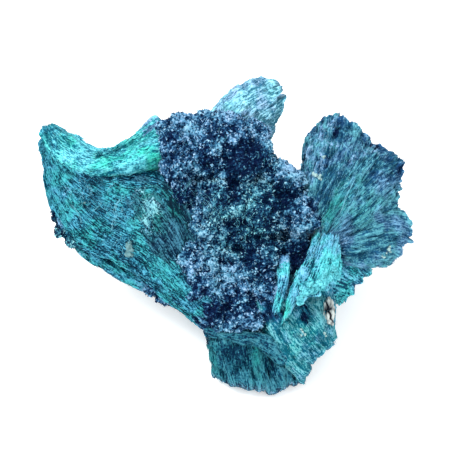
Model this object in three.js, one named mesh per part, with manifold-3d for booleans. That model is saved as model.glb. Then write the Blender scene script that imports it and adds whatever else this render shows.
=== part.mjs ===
// Fibrous malachite specimen: sheaves of silky fibres that fan out of one root, a dark velvet
// crust of crystal tips heaped between them, and a chip of pale host rock caught in the foot.
// Millimetres, +Z up. X runs to the right of the show face and Y to its back, and the specimen
// stands on the flat break where it left its rock.

import * as THREE from "three";
import { mergeVertices } from "three/addons/utils/BufferGeometryUtils.js";
import Module from "manifold-3d";

const wasm = await Module();
wasm.setup();

// ---- Driving dimensions ----

// The show face leans back. Its points are given as [right, up, out] from its centre: right is
// +X, up climbs the leaning face, and out stands square to it, away from the rock.
const FACE_LEAN = THREE.MathUtils.degToRad(50);
const FACE_HEIGHT = 18.8;

// A sheaf's flutes are shallower at its first end. Its edges are rounded over by a curve of this
// power, and its fibres break off unevenly at both ends.
const FLUTE_DEPTH = 0.6;
const SHALLOWEST_FLUTE = 0.3;
const FIRST_END_FLUTE = 0.4;
const EDGE_POWER = 4;
const TIP_RAGGEDNESS = 1.1;

// A heap's outline is bent by this share of its size, in so many waves sideways and upwards.
const LUMP_WAVE = 0.1;
const WAVES_ACROSS = 5;
const WAVES_UP = 4;
const CRYSTAL_STEP = 0.5;

const GROUND_SIZE = 300;
const SLIVER = 0.05;
const WELD = 1e-4;
const SEED = 20;

// Each sheaf is a list of stations from its first end to its last. A station is the sheaf's
// thickness there, then the points that its mid-surface passes through from edge to edge, so a
// fibre runs through the same share of every station.
const SHEAVES = {
  wing: {
    rows: 6,
    columns: 10,
    stations: [
      [3, [-34, 22, 2], [-35.2, 21.9, 2.2], [-36.2, 21.6, 2], [-36.9, 20.8, 1.2]],
      [4.5, [-30.6, 20.2, 0], [-32, 18.4, 1], [-33.2, 16.8, 1.4], [-34.6, 15.2, 1]],
      [5, [-25, 16.6, -1.5], [-25.6, 14.8, 0], [-27, 13, 1.8], [-29.6, 11.2, 2.2]],
      [5, [-19, 18.7, -3], [-18.6, 16.6, -1], [-18.2, 15, 2], [-18.4, 12.8, 4.5]],
      [6, [-13.9, 23.7, -5], [-11.6, 21.2, -3], [-10.6, 18, 0], [-10.4, 15.4, 2.6]],
    ],
  },
  apron: {
    rows: 7,
    columns: 16,
    stations: [
      [3, [-34, 19.4, 0.5], [-34.8, 19.4, 0.5], [-35.4, 19.4, 0.5], [-35.8, 19.4, 0.4], [-36.1, 19.2, 0]],
      [4.5, [-27.8, 12.4, 1], [-29.6, 12, 1.6], [-31.4, 11.4, 1.6], [-33.4, 10.4, 0.6], [-35.6, 9.6, -0.8]],
      [5.5, [-20.2, 12.2, 1.5], [-21, 7.6, 4], [-23, 4.2, 4.2], [-26.6, 1.8, 2.6], [-31, -0.8, -0.6]],
      [6, [-12.6, 12.4, 1], [-12.8, 5, 5], [-14.4, -0.6, 5.8], [-17.6, -3.2, 4.2], [-21.2, -4.2, 0.8]],
      [6.5, [-8, 1, 2], [-7.6, -3.4, 5], [-8.4, -7, 6], [-10, -9.4, 4.4], [-11.8, -10.6, 1.2]],
      [7, [-2.2, -10, 2], [-2, -12.2, 4], [-2, -14.6, 4.5], [-2, -16.4, 4], [-2.4, -18, 2]],
    ],
  },
  blade: {
    rows: 5,
    columns: 5,
    stations: [
      [2.5, [-16, 11.4, 3], [-19.2, 9.8, 4], [-20.8, 7.6, 4.5]],
      [3.5, [-10, 8.6, 4], [-15, 6, 6.5], [-18.4, 1.8, 7]],
      [3.5, [-6.4, 2.6, 5.5], [-10.4, 0, 8], [-13.8, -4.4, 8]],
      [3, [-4, -4.6, 5.5], [-7, -6.8, 7.8], [-9.6, -10, 7]],
    ],
  },
  underleaf: {
    rows: 5,
    columns: 4,
    stations: [
      [2, [-31, 0.4, -2.6], [-31, -0.8, -3], [-31, -2, -3]],
      [3.5, [-25.5, -2, -1], [-25.8, -3.8, -2], [-26.6, -5.5, -3]],
      [4.5, [-19.4, -5, -0.5], [-19.6, -7, -1.5], [-19.8, -8.8, -3]],
      [4.5, [-13, -8.6, 0], [-13.3, -10.2, -1], [-13.6, -11.4, -2.5]],
      [4, [-6.5, -12.5, 0], [-6.8, -13.6, 0], [-7, -14.8, -1]],
    ],
  },
  column: {
    rows: 5,
    columns: 8,
    stations: [
      [8, [-4.6, 18, -12], [-2, 16.6, -10], [1.8, 14.6, -10], [6, 12.6, -12]],
      [9, [-2, 24.4, -10], [1.2, 22.4, -7], [4.4, 20.6, -7], [7.4, 18, -10]],
      [7, [4, 29.4, -8], [6.2, 27.4, -5], [7.8, 24.6, -5], [8.2, 22, -8]],
      [4, [8.4, 31.8, -6], [11.2, 30.6, -4], [11.6, 27.4, -4.5], [9.2, 23.8, -7]],
    ],
  },
  rightFan: {
    rows: 6,
    columns: 14,
    stations: [
      [6, [15.4, -1, -2], [17.6, 0.8, -1], [19.6, 1, 0], [21, 0.2, 0], [22, -1.8, 0]],
      [8, [15.6, 8, -3], [19.4, 9, 0], [23.2, 7.8, 2], [25.8, 5, 3], [27, 1.8, 2]],
      [6, [15.7, 15.6, -4.5], [21.2, 17.6, -1], [27, 15.2, 1], [31, 10.8, 1], [31.6, 5.8, 0]],
      [3.5, [16.2, 20, -5], [22.2, 23.8, -2], [29, 18.8, -1], [35.6, 13.8, -1.5], [33.2, 7, -2]],
    ],
  },
  rightLobe: {
    rows: 4,
    columns: 8,
    stations: [
      [5, [21.4, -0.2, 1], [22.4, -1.4, 1], [23, -3, 1], [22.8, -5.2, 0]],
      [5, [27.2, 3.8, 1], [28, 1, 3], [28, -2.2, 3], [26.4, -5.6, 0]],
      [4, [31, 5.4, -1], [32.8, 2.2, 1.5], [33, -1.6, 1.5], [30, -6, -1]],
      [2.5, [33, 5.8, -2.5], [36.4, 1.4, 0], [35.4, -2.6, 0], [32.8, -5.8, -2.5]],
    ],
  },
  midLobe: {
    rows: 3,
    columns: 4,
    stations: [
      [4, [21.6, 3, 0.5], [23, 0.4, 1]],
      [4.5, [26.8, 7.4, 1.5], [28.4, 2.6, 2.5]],
      [4, [31.2, 9.4, 0.5], [33, 4.4, 1.5]],
      [2.5, [33.6, 9.8, -1], [35, 5, 0.5]],
    ],
  },
  lightFan: {
    rows: 5,
    columns: 8,
    stations: [
      [3, [19.4, 2.4, -0.5], [21.2, 1.8, 0.5], [23, 0.6, 0]],
      [4.5, [16.4, -5.4, 4], [19, -5.4, 6.5], [22.8, -3.8, 5]],
      [4.5, [13.4, -11.4, 7], [16.8, -9.6, 8], [22.8, -6.6, 6]],
      [3, [11.4, -16.2, 8], [15.8, -12.4, 7.8], [22.2, -8.8, 5.5]],
    ],
  },
  lightStrip: {
    rows: 3,
    columns: 3,
    stations: [
      [3, [11, -3, 6.5], [12.6, -3.4, 6.5]],
      [3, [10.2, -9.6, 7.5], [11.8, -10, 7.5]],
      [3, [8.8, -15.4, 6], [10.4, -16, 6]],
    ],
  },
  footRight: {
    rows: 4,
    columns: 8,
    stations: [
      [6, [13.2, -9.4, 3], [10.4, -10, 4], [7.4, -11, 4], [4.4, -12.4, 2]],
      [6, [16.4, -14, 3], [13.6, -15.2, 4.5], [10.4, -16.8, 4.5], [7.2, -18.6, 2.5]],
      [6, [19.8, -18.2, 3], [16.6, -20, 4.5], [13.6, -22, 5], [10.8, -24.4, 3.5]],
      [4, [21.6, -21.8, 2.5], [19.4, -23.2, 4], [17.4, -25.8, 4.5], [15.2, -29.2, 3.5]],
    ],
  },
  footSide: {
    rows: 3,
    columns: 6,
    stations: [
      [5, [15.2, -9.4, -1], [18.4, -9, 0], [20.8, -9.4, -2]],
      [5, [15.2, -14, -1], [18.4, -14, 1.5], [20.8, -13.8, -1.5]],
      [5, [16.8, -18.6, 1], [19, -18.6, 2.5], [20.2, -17.8, 0]],
      [4, [18.8, -21.8, 2], [19.8, -21.6, 2.5], [20, -20.6, 1]],
    ],
  },
  bottomFan: {
    rows: 4,
    columns: 12,
    stations: [
      [7, [-4.2, -17.4, -1], [0.2, -17.8, 1], [4.8, -19, 1], [9.8, -20.6, 0]],
      [8, [-2.5, -21.6, -1], [1, -22.2, 2], [6.2, -23, 2], [11.6, -24.4, 1]],
      [7, [-2.2, -24.8, 0.5], [1.4, -25.6, 3], [7.2, -26.8, 3], [13.2, -27.4, 2]],
      [4, [-2.8, -28.4, 2], [2, -29.8, 4], [8.6, -31.2, 4], [15, -30, 3]],
    ],
  },
  fringe: {
    rows: 3,
    columns: 7,
    stations: [
      [6, [19.8, -4.2, -3], [18.8, -7, -2], [18.4, -9.8, -4]],
      [7, [25, -5, -3], [23, -8.6, -1], [21.8, -11.4, -4]],
      [4, [29.8, -6.8, -4], [26.4, -10.2, -2.5], [24.2, -13, -5]],
    ],
  },
  flap: {
    rows: 3,
    columns: 4,
    stations: [
      [2, [21.6, -9.8, -4.5], [24.8, -9.8, -4.5]],
      [2, [22, -12, -4.5], [24.8, -12, -4.5]],
      [1.6, [22.2, -14, -4.5], [24.4, -14.2, -4.5]],
    ],
  },
  backLeft: {
    rows: 3,
    columns: 6,
    stations: [
      [9, [-6, 2, -12], [-2, 0, -16], [2, 2, -18]],
      [9, [-13, 9, -10], [-9, 6, -16], [-3, 7, -20]],
      [6, [-19, 12, -8], [-15, 10, -15], [-8, 11, -20]],
    ],
  },
  backMid: {
    rows: 3,
    columns: 6,
    stations: [
      [10, [-4, 4, -14], [2, 2, -16], [8, 2, -16]],
      [9, [-6, 12, -14], [2, 10, -18], [9, 9, -18]],
      [6, [-7, 18, -12], [1, 16, -18], [9, 14, -17]],
    ],
  },
  backRight: {
    rows: 3,
    columns: 6,
    stations: [
      [9, [6, 2, -16], [12, 0, -14], [16, -1, -10]],
      [9, [12, 8, -16], [19, 6, -13], [23, 3, -9]],
      [6, [17, 12, -15], [25, 10, -11], [29, 4, -8]],
    ],
  },
};

// Heaps of the velvet crust: centre and half sizes as [right, up, out], and how finely the
// crystal faces divide it.
const LUMPS = [
  { centre: [-1.4, 17, -0.5], half: [9.2, 7.2, 9], faces: 3 },
  { centre: [-7.8, 21.6, 1], half: [3, 2.8, 3.4], faces: 1 },
  { centre: [-11.2, 21.5, 0], half: [2.4, 2, 2.6], faces: 1 },
  { centre: [-4, 21.6, 1.5], half: [3.2, 2.6, 3.6], faces: 1 },
  { centre: [1.4, 21.2, 2.5], half: [3.6, 3, 3.8], faces: 2 },
  { centre: [-9.8, 17.8, 3], half: [2.8, 3.6, 3.6], faces: 1 },
  { centre: [-9.4, 12.6, 3.6], half: [3.2, 3.4, 3.8], faces: 2 },
  { centre: [-3, 17, 6], half: [3.8, 3.6, 4.2], faces: 2 },
  { centre: [2.2, 13.4, 5.5], half: [4.4, 3.4, 3.8], faces: 2 },
  { centre: [5.6, 19.6, 1], half: [3.2, 3.4, 3.4], faces: 2 },
  { centre: [6.4, 15.4, 2.2], half: [3.5, 3.2, 3.8], faces: 1 },
  { centre: [12, 10.4, 2], half: [3.4, 3.4, 4.2], faces: 2 },
  { centre: [9, 12.4, 1], half: [2.8, 3, 3.4], faces: 1 },
  { centre: [1.6, 4.6, -0.5], half: [11.2, 8.4, 8.6], faces: 2 },
  { centre: [-9.5, 10, -4], half: [6, 5, 5], faces: 1 },
  { centre: [-8.8, 7.8, 2], half: [3.6, 4, 5], faces: 1 },
  { centre: [-4.2, 1.2, 1.5], half: [5.4, 6.8, 7], faces: 2 },
  { centre: [-0.4, 6.4, 5.5], half: [5, 4, 4.6], faces: 2 },
  { centre: [7.2, 4, 4], half: [4.6, 4.2, 5], faces: 2 },
  { centre: [14, 4.4, 1], half: [5.2, 4.8, 5.4], faces: 2 },
  { centre: [18.2, 2.6, 2], half: [2.6, 2, 3], faces: 1 },
  { centre: [1.4, -10, 0], half: [8.4, 8.4, 8.4], faces: 2 },
  { centre: [7, -5.4, 2], half: [5, 6, 5.4], faces: 2 },
  { centre: [-3.8, -5.4, 4], half: [3.6, 4, 4.6], faces: 1 },
  { centre: [0.8, -16, 2], half: [6.2, 2.8, 5], faces: 1 },
  { centre: [-6.8, -5, 5.4], half: [3.2, 4.4, 5.6], faces: 1 },
  { centre: [-5, -9.6, 5.6], half: [3.2, 4.2, 5.2], faces: 1 },
  { centre: [-3, -14.4, 4.6], half: [3, 3.8, 4.8], faces: 1 },
  { centre: [0.6, -17.6, 3], half: [4.4, 2.8, 4.2], faces: 1 },
  { centre: [4.2, -15.6, 4.6], half: [3.6, 3.2, 4.4], faces: 1 },
  { centre: [8, -10.6, 4], half: [3, 3.6, 4.6], faces: 1 },
  { centre: [14.2, -4, 0], half: [4, 5, 4], faces: 1 },
  { centre: [-34, 4, 0.5], half: [1.3, 1.6, 1.5], faces: 0 },
  { centre: [-32.6, 0.9, 0], half: [1.9, 1.5, 1.6], faces: 0 },
  { centre: [-30.7, -1, -0.5], half: [1.7, 1.2, 1.4], faces: 0 },
];

const HOST_CHIP = { centre: [20.5, -15.7, 3.4], half: [1.6, 2.8, 2.3], faces: 1 };

// The root, from the break up to the backs of the sheaves.
const ROOT_SIDES = 20;
const DEEPEST_ROOT_FLUTE = 0.1;
const ROOT_RINGS = [
  { height: -2, centre: [8, -5.5], half: [11.5, 16.5] },
  { height: 4, centre: [7, -5], half: [12, 16] },
  { height: 9, centre: [5.5, -3], half: [13.5, 14] },
  { height: 14, centre: [4, 0.5], half: [15, 12.5] },
  { height: 18.6, centre: [3, 4], half: [13.5, 9] },
];

// ---- Placing, chance and solids ----

const FACE_UP = new THREE.Vector3(0, Math.sin(FACE_LEAN), Math.cos(FACE_LEAN));
const FACE_OUT = new THREE.Vector3(0, -Math.cos(FACE_LEAN), Math.sin(FACE_LEAN));

function onFace([right, up, out]) {
  return new THREE.Vector3(right, 0, FACE_HEIGHT)
    .addScaledVector(FACE_UP, up)
    .addScaledVector(FACE_OUT, out);
}

// A repeatable chance, so that the specimen comes out the same each time.
let chanceState = SEED;
function chance() {
  chanceState = (chanceState + 0x6d2b79f5) | 0;
  let mixed = Math.imul(chanceState ^ (chanceState >>> 15), 1 | chanceState);
  mixed = (mixed + Math.imul(mixed ^ (mixed >>> 7), 61 | mixed)) ^ mixed;
  return ((mixed ^ (mixed >>> 14)) >>> 0) / 2 ** 32;
}
const spread = (low, high) => low + (high - low) * chance();

function onlyPositions(geometry) {
  const bare = geometry.clone();
  bare.deleteAttribute("normal");
  bare.deleteAttribute("uv");
  return mergeVertices(bare, WELD);
}

function toManifold(geometry) {
  return new wasm.Manifold(
    new wasm.Mesh({
      numProp: 3,
      vertProperties: new Float32Array(geometry.attributes.position.array),
      triVerts: new Uint32Array(geometry.index.array),
    }),
  );
}

// A closed skin as a solid, turned to face outwards if it came out inside out.
function solid(geometry) {
  const skin = onlyPositions(geometry);
  const made = toManifold(skin);
  if (made.volume() > 0) return made;
  const index = skin.index.array;
  for (let i = 0; i < index.length; i += 3) {
    [index[i + 1], index[i + 2]] = [index[i + 2], index[i + 1]];
  }
  return toManifold(skin);
}

// ---- Sheaves ----

// The fibre at a share t of the way across a sheaf, as a curve through every station.
function fibre(stations, t) {
  const points = stations.map(([, ...across]) =>
    new THREE.CatmullRomCurve3(across.map(onFace)).getPoint(t),
  );
  return new THREE.CatmullRomCurve3(points);
}

function thicknessAt(stations, s) {
  const place = s * (stations.length - 1);
  const first = Math.min(Math.floor(place), stations.length - 2);
  return THREE.MathUtils.lerp(stations[first][0], stations[first + 1][0], place - first);
}

// The skin's rings run across the front of the mid-surface and home along its back, with a
// flute down each column and every column's ends broken off at a length of its own.
function sheafSolid({ stations, rows, columns }) {
  const ring = 2 * columns;
  const fibres = [];
  const flutes = [];
  const breaks = [];
  for (let j = 0; j <= columns; j += 1) {
    fibres.push(fibre(stations, j / columns));
    flutes.push((j % 2 ? 1 : -1) * spread(SHALLOWEST_FLUTE, 1) * FLUTE_DEPTH);
    breaks.push([spread(-1, 1) * TIP_RAGGEDNESS, spread(-1, 1) * TIP_RAGGEDNESS]);
  }
  const points = [];
  for (let i = 0; i <= rows; i += 1) {
    const s = i / rows;
    const middle = fibres.map((curve) => curve.getPoint(s));
    for (let k = 0; k < ring; k += 1) {
      const j = k <= columns ? k : ring - k;
      const share = (2 * j) / columns - 1;
      const along = fibres[j].getTangent(s);
      const across = middle[Math.min(j + 1, columns)].clone().sub(middle[Math.max(j - 1, 0)]);
      const normal = across.cross(along).normalize();
      const outward = (normal.dot(FACE_OUT) < 0 ? -1 : 1) * (k === j ? 1 : -1);
      const body = Math.sqrt(1 - share ** EDGE_POWER) * (thicknessAt(stations, s) / 2);
      const flute = flutes[j] * THREE.MathUtils.lerp(FIRST_END_FLUTE, 1, s);
      const lift = Math.abs(share) === 1 ? 0 : body + flute;
      const point = middle[j].clone().addScaledVector(normal, outward * lift);
      if (i === 0) point.addScaledVector(along, breaks[j][0]);
      if (i === rows) point.addScaledVector(along, breaks[j][1]);
      points.push(point);
    }
  }
  return solid(new THREE.BufferGeometry().setFromPoints(points).setIndex(ringFaces(rows, columns)));
}

// Faces for rows of rings, with both ends closed from front to back.
function ringFaces(rows, columns) {
  const ring = 2 * columns;
  const index = [];
  for (let i = 0; i < rows; i += 1) {
    for (let k = 0; k < ring; k += 1) {
      const [a, b] = [i * ring + k, i * ring + ((k + 1) % ring)];
      index.push(a, b, b + ring, a, b + ring, a + ring);
    }
  }
  for (let j = 0; j < columns; j += 1) {
    const [front, nextFront, nextBack, back] = [j, j + 1, ring - j - 1, (ring - j) % ring];
    const last = rows * ring;
    if (j > 0) {
      index.push(front, nextBack, nextFront, front, back, nextBack);
      index.push(last + front, last + nextFront, last + nextBack);
      index.push(last + front, last + nextBack, last + back);
    } else {
      index.push(front, nextBack, nextFront, last + front, last + nextFront, last + nextBack);
    }
  }
  return index.filter((_, n, all) => {
    const [a, b, c] = all.slice(n - (n % 3), n - (n % 3) + 3);
    return a !== b && b !== c && c !== a;
  });
}

// ---- Velvet crust and host rock ----

// A slow wave bends each heap out of round, and its crystal faces step in and out of it.
function lumpSolid({ centre, half, faces }) {
  const ball = onlyPositions(new THREE.IcosahedronGeometry(1, faces));
  const position = ball.attributes.position;
  const phase = spread(0, 2 * Math.PI);
  for (let i = 0; i < position.count; i += 1) {
    const direction = [position.getX(i), position.getY(i), position.getZ(i)];
    const sideways = Math.sin(WAVES_ACROSS * direction[0] + phase);
    const scale = 1 + LUMP_WAVE * sideways * Math.cos(WAVES_UP * direction[1] - phase);
    const step = spread(-CRYSTAL_STEP, CRYSTAL_STEP);
    const point = onFace(direction.map((d, axis) => centre[axis] + d * (half[axis] * scale + step)));
    position.setXYZ(i, point.x, point.y, point.z);
  }
  return solid(ball);
}

// ---- Root ----

// The root is a stack of rings, fluted by the fibres that run up its sides.
function rootSolid() {
  const points = [];
  for (const { height, centre, half } of ROOT_RINGS) {
    for (let k = 0; k < ROOT_SIDES; k += 1) {
      const turn = (2 * Math.PI * k) / ROOT_SIDES;
      const flute = 1 + (k % 2 ? 1 : -1) * spread(0, DEEPEST_ROOT_FLUTE);
      const x = centre[0] + half[0] * flute * Math.cos(turn);
      const y = centre[1] + half[1] * flute * Math.sin(turn);
      points.push(new THREE.Vector3(x, y, height));
    }
  }
  const faces = ringFaces(ROOT_RINGS.length - 1, ROOT_SIDES / 2);
  return solid(new THREE.BufferGeometry().setFromPoints(points).setIndex(faces));
}

// ---- The specimen ----

// Everything below the break is cut away, slivers left by the joins are smoothed out, and any
// crumb that has come loose is dropped.
function cutAtBreak(grown) {
  const ground = new THREE.BoxGeometry(GROUND_SIZE, GROUND_SIZE, GROUND_SIZE);
  const standing = grown.subtract(solid(ground.translate(0, 0, -GROUND_SIZE / 2)));
  const bodies = standing.simplify(SLIVER).decompose();
  return bodies.reduce((most, body) => (body.volume() > most.volume() ? body : most));
}

function toGeometry(manifold) {
  const { vertProperties, triVerts } = manifold.getMesh();
  const geometry = new THREE.BufferGeometry();
  geometry.setAttribute("position", new THREE.BufferAttribute(vertProperties, 3));
  return geometry.setIndex(new THREE.BufferAttribute(triVerts, 1));
}

const grown = [
  rootSolid(),
  ...Object.values(SHEAVES).map(sheafSolid),
  ...LUMPS.map(lumpSolid),
  lumpSolid(HOST_CHIP),
].reduce((whole, piece) => whole.add(piece));

const malachite = new THREE.Mesh(
  toGeometry(cutAtBreak(grown)),
  new THREE.MeshStandardMaterial({ color: 0x3f9fae, roughness: 0.45, metalness: 0 }),
);
malachite.name = "malachite";

const specimen = new THREE.Group();
specimen.add(malachite);

export default specimen;
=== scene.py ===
"""A fibrous malachite specimen: silky fibre sheaves round a dark velvet crust, on its root's break."""

import math

import bmesh
import bpy
import numpy as np
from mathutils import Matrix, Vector, noise
from mathutils.bvhtree import BVHTree
from mathutils.kdtree import KDTree


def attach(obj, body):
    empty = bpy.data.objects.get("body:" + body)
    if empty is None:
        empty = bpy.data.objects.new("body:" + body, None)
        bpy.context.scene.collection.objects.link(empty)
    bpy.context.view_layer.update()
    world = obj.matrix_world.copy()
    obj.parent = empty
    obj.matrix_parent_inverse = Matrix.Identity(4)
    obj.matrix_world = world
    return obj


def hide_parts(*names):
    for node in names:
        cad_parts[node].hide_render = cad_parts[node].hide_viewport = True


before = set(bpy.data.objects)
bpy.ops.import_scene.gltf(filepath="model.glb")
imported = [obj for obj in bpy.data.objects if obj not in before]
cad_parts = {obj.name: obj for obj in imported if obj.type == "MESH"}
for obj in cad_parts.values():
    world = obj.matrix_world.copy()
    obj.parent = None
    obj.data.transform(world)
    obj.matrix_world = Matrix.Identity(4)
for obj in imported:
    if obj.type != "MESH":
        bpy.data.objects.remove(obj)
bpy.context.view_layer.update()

# ---- Show face ----
# The specimen rests on its root with its show face leaning back. Every form is laid out on that
# face in millimetres, as [right, up, out] from its centre, as in the solid that it dresses.
FACE_LEAN = math.radians(50)
FACE_HEIGHT = 18.8
MM = 0.001
FACE_UP = np.array([0, math.sin(FACE_LEAN), math.cos(FACE_LEAN)])
FACE_OUT = np.array([0, -math.cos(FACE_LEAN), math.sin(FACE_LEAN)])


def on_face(points):
    """Places in the scene, in millimetres, of points given as [right, up, out]."""
    right, up, out = np.moveaxis(np.asarray(points, float), -1, 0)
    centre = np.array([0, 0, FACE_HEIGHT])
    across = right[..., None] * np.array([1.0, 0, 0])
    return centre + across + up[..., None] * FACE_UP + out[..., None] * FACE_OUT


# ---- Wing ----
# The pale upper sheaf at the left. It is a bundle of malachite fibres that grew side by side and
# fanned out, as all the sheaves are. Its skin is fluted along the fibres, steps down in ledges
# where bundles broke short, and carries thousands of loose splinters.


def spline(control, place):
    """A centripetal curve through control's first axis, at places from 0 to 1."""
    count = len(control)
    spot = np.clip(place, 0, 1) * (count - 1)
    first = np.minimum(spot.astype(int), count - 2)
    share = (spot - first)[..., None]
    ends = [2 * control[0] - control[1], *control, 2 * control[-1] - control[-2]]
    padded = np.stack(ends)
    if padded.ndim == 2:
        p = [padded[first + k] for k in range(4)]
    else:
        column = np.broadcast_to(np.arange(padded.shape[1]), first.shape)
        p = [padded[first + k, column] for k in range(4)]
    d = [np.linalg.norm(p[k + 1] - p[k], axis=-1, keepdims=True) ** 0.5 for k in range(3)]
    d = [np.maximum(gap, 1e-3) for gap in d]
    leave = (p[1] - p[0]) / d[0] - (p[2] - p[0]) / (d[0] + d[1]) + (p[2] - p[1]) / d[1]
    arrive = (p[2] - p[1]) / d[1] - (p[3] - p[1]) / (d[1] + d[2]) + (p[3] - p[2]) / d[2]
    leave, arrive = leave * d[1], arrive * d[1]
    cubic = 2 * p[1] - 2 * p[2] + leave + arrive
    square = 3 * p[2] - 3 * p[1] - 2 * leave - arrive
    return ((cubic * share + square) * share + leave) * share + p[1]


def wander(x, y, rng):
    """Smooth random values from -1 to 1 that change once for each unit of x and of y."""
    x = x - x.min()
    y = y - y.min()
    table = rng.uniform(-1, 1, (int(x.max()) + 2, int(y.max()) + 2))
    column, row = x.astype(int), y.astype(int)
    u, v = x - column, y - row
    u, v = u * u * (3 - 2 * u), v * v * (3 - 2 * v)
    low = table[column, row] * (1 - u) + table[column + 1, row] * u
    high = table[column, row + 1] * (1 - u) + table[column + 1, row + 1] * u
    return low * (1 - v) + high * v


def knuckles(line, width, rng):
    """A random length for each width along the line, with a rounded end, and the rounding alone."""
    cell = line / width + 0.3 * wander(line / width / 2, 0 * line, rng)
    cell = cell - cell.min()
    which = cell.astype(int)
    bow = 1 - np.abs(2 * (cell - which) - 1) ** 3
    return rng.uniform(-1, 0.25, which.max() + 1)[which] + 0.5 * bow, bow


def keep(mesh, label, values):
    """One value or direction for each point of the mesh, kept on it by name."""
    directions = values.size > len(mesh.vertices)
    kind, key = ("FLOAT_VECTOR", "vector") if directions else ("FLOAT", "value")
    mesh.attributes.new(label, kind, "POINT").data.foreach_set(key, values.astype(np.float32).ravel())


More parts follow.
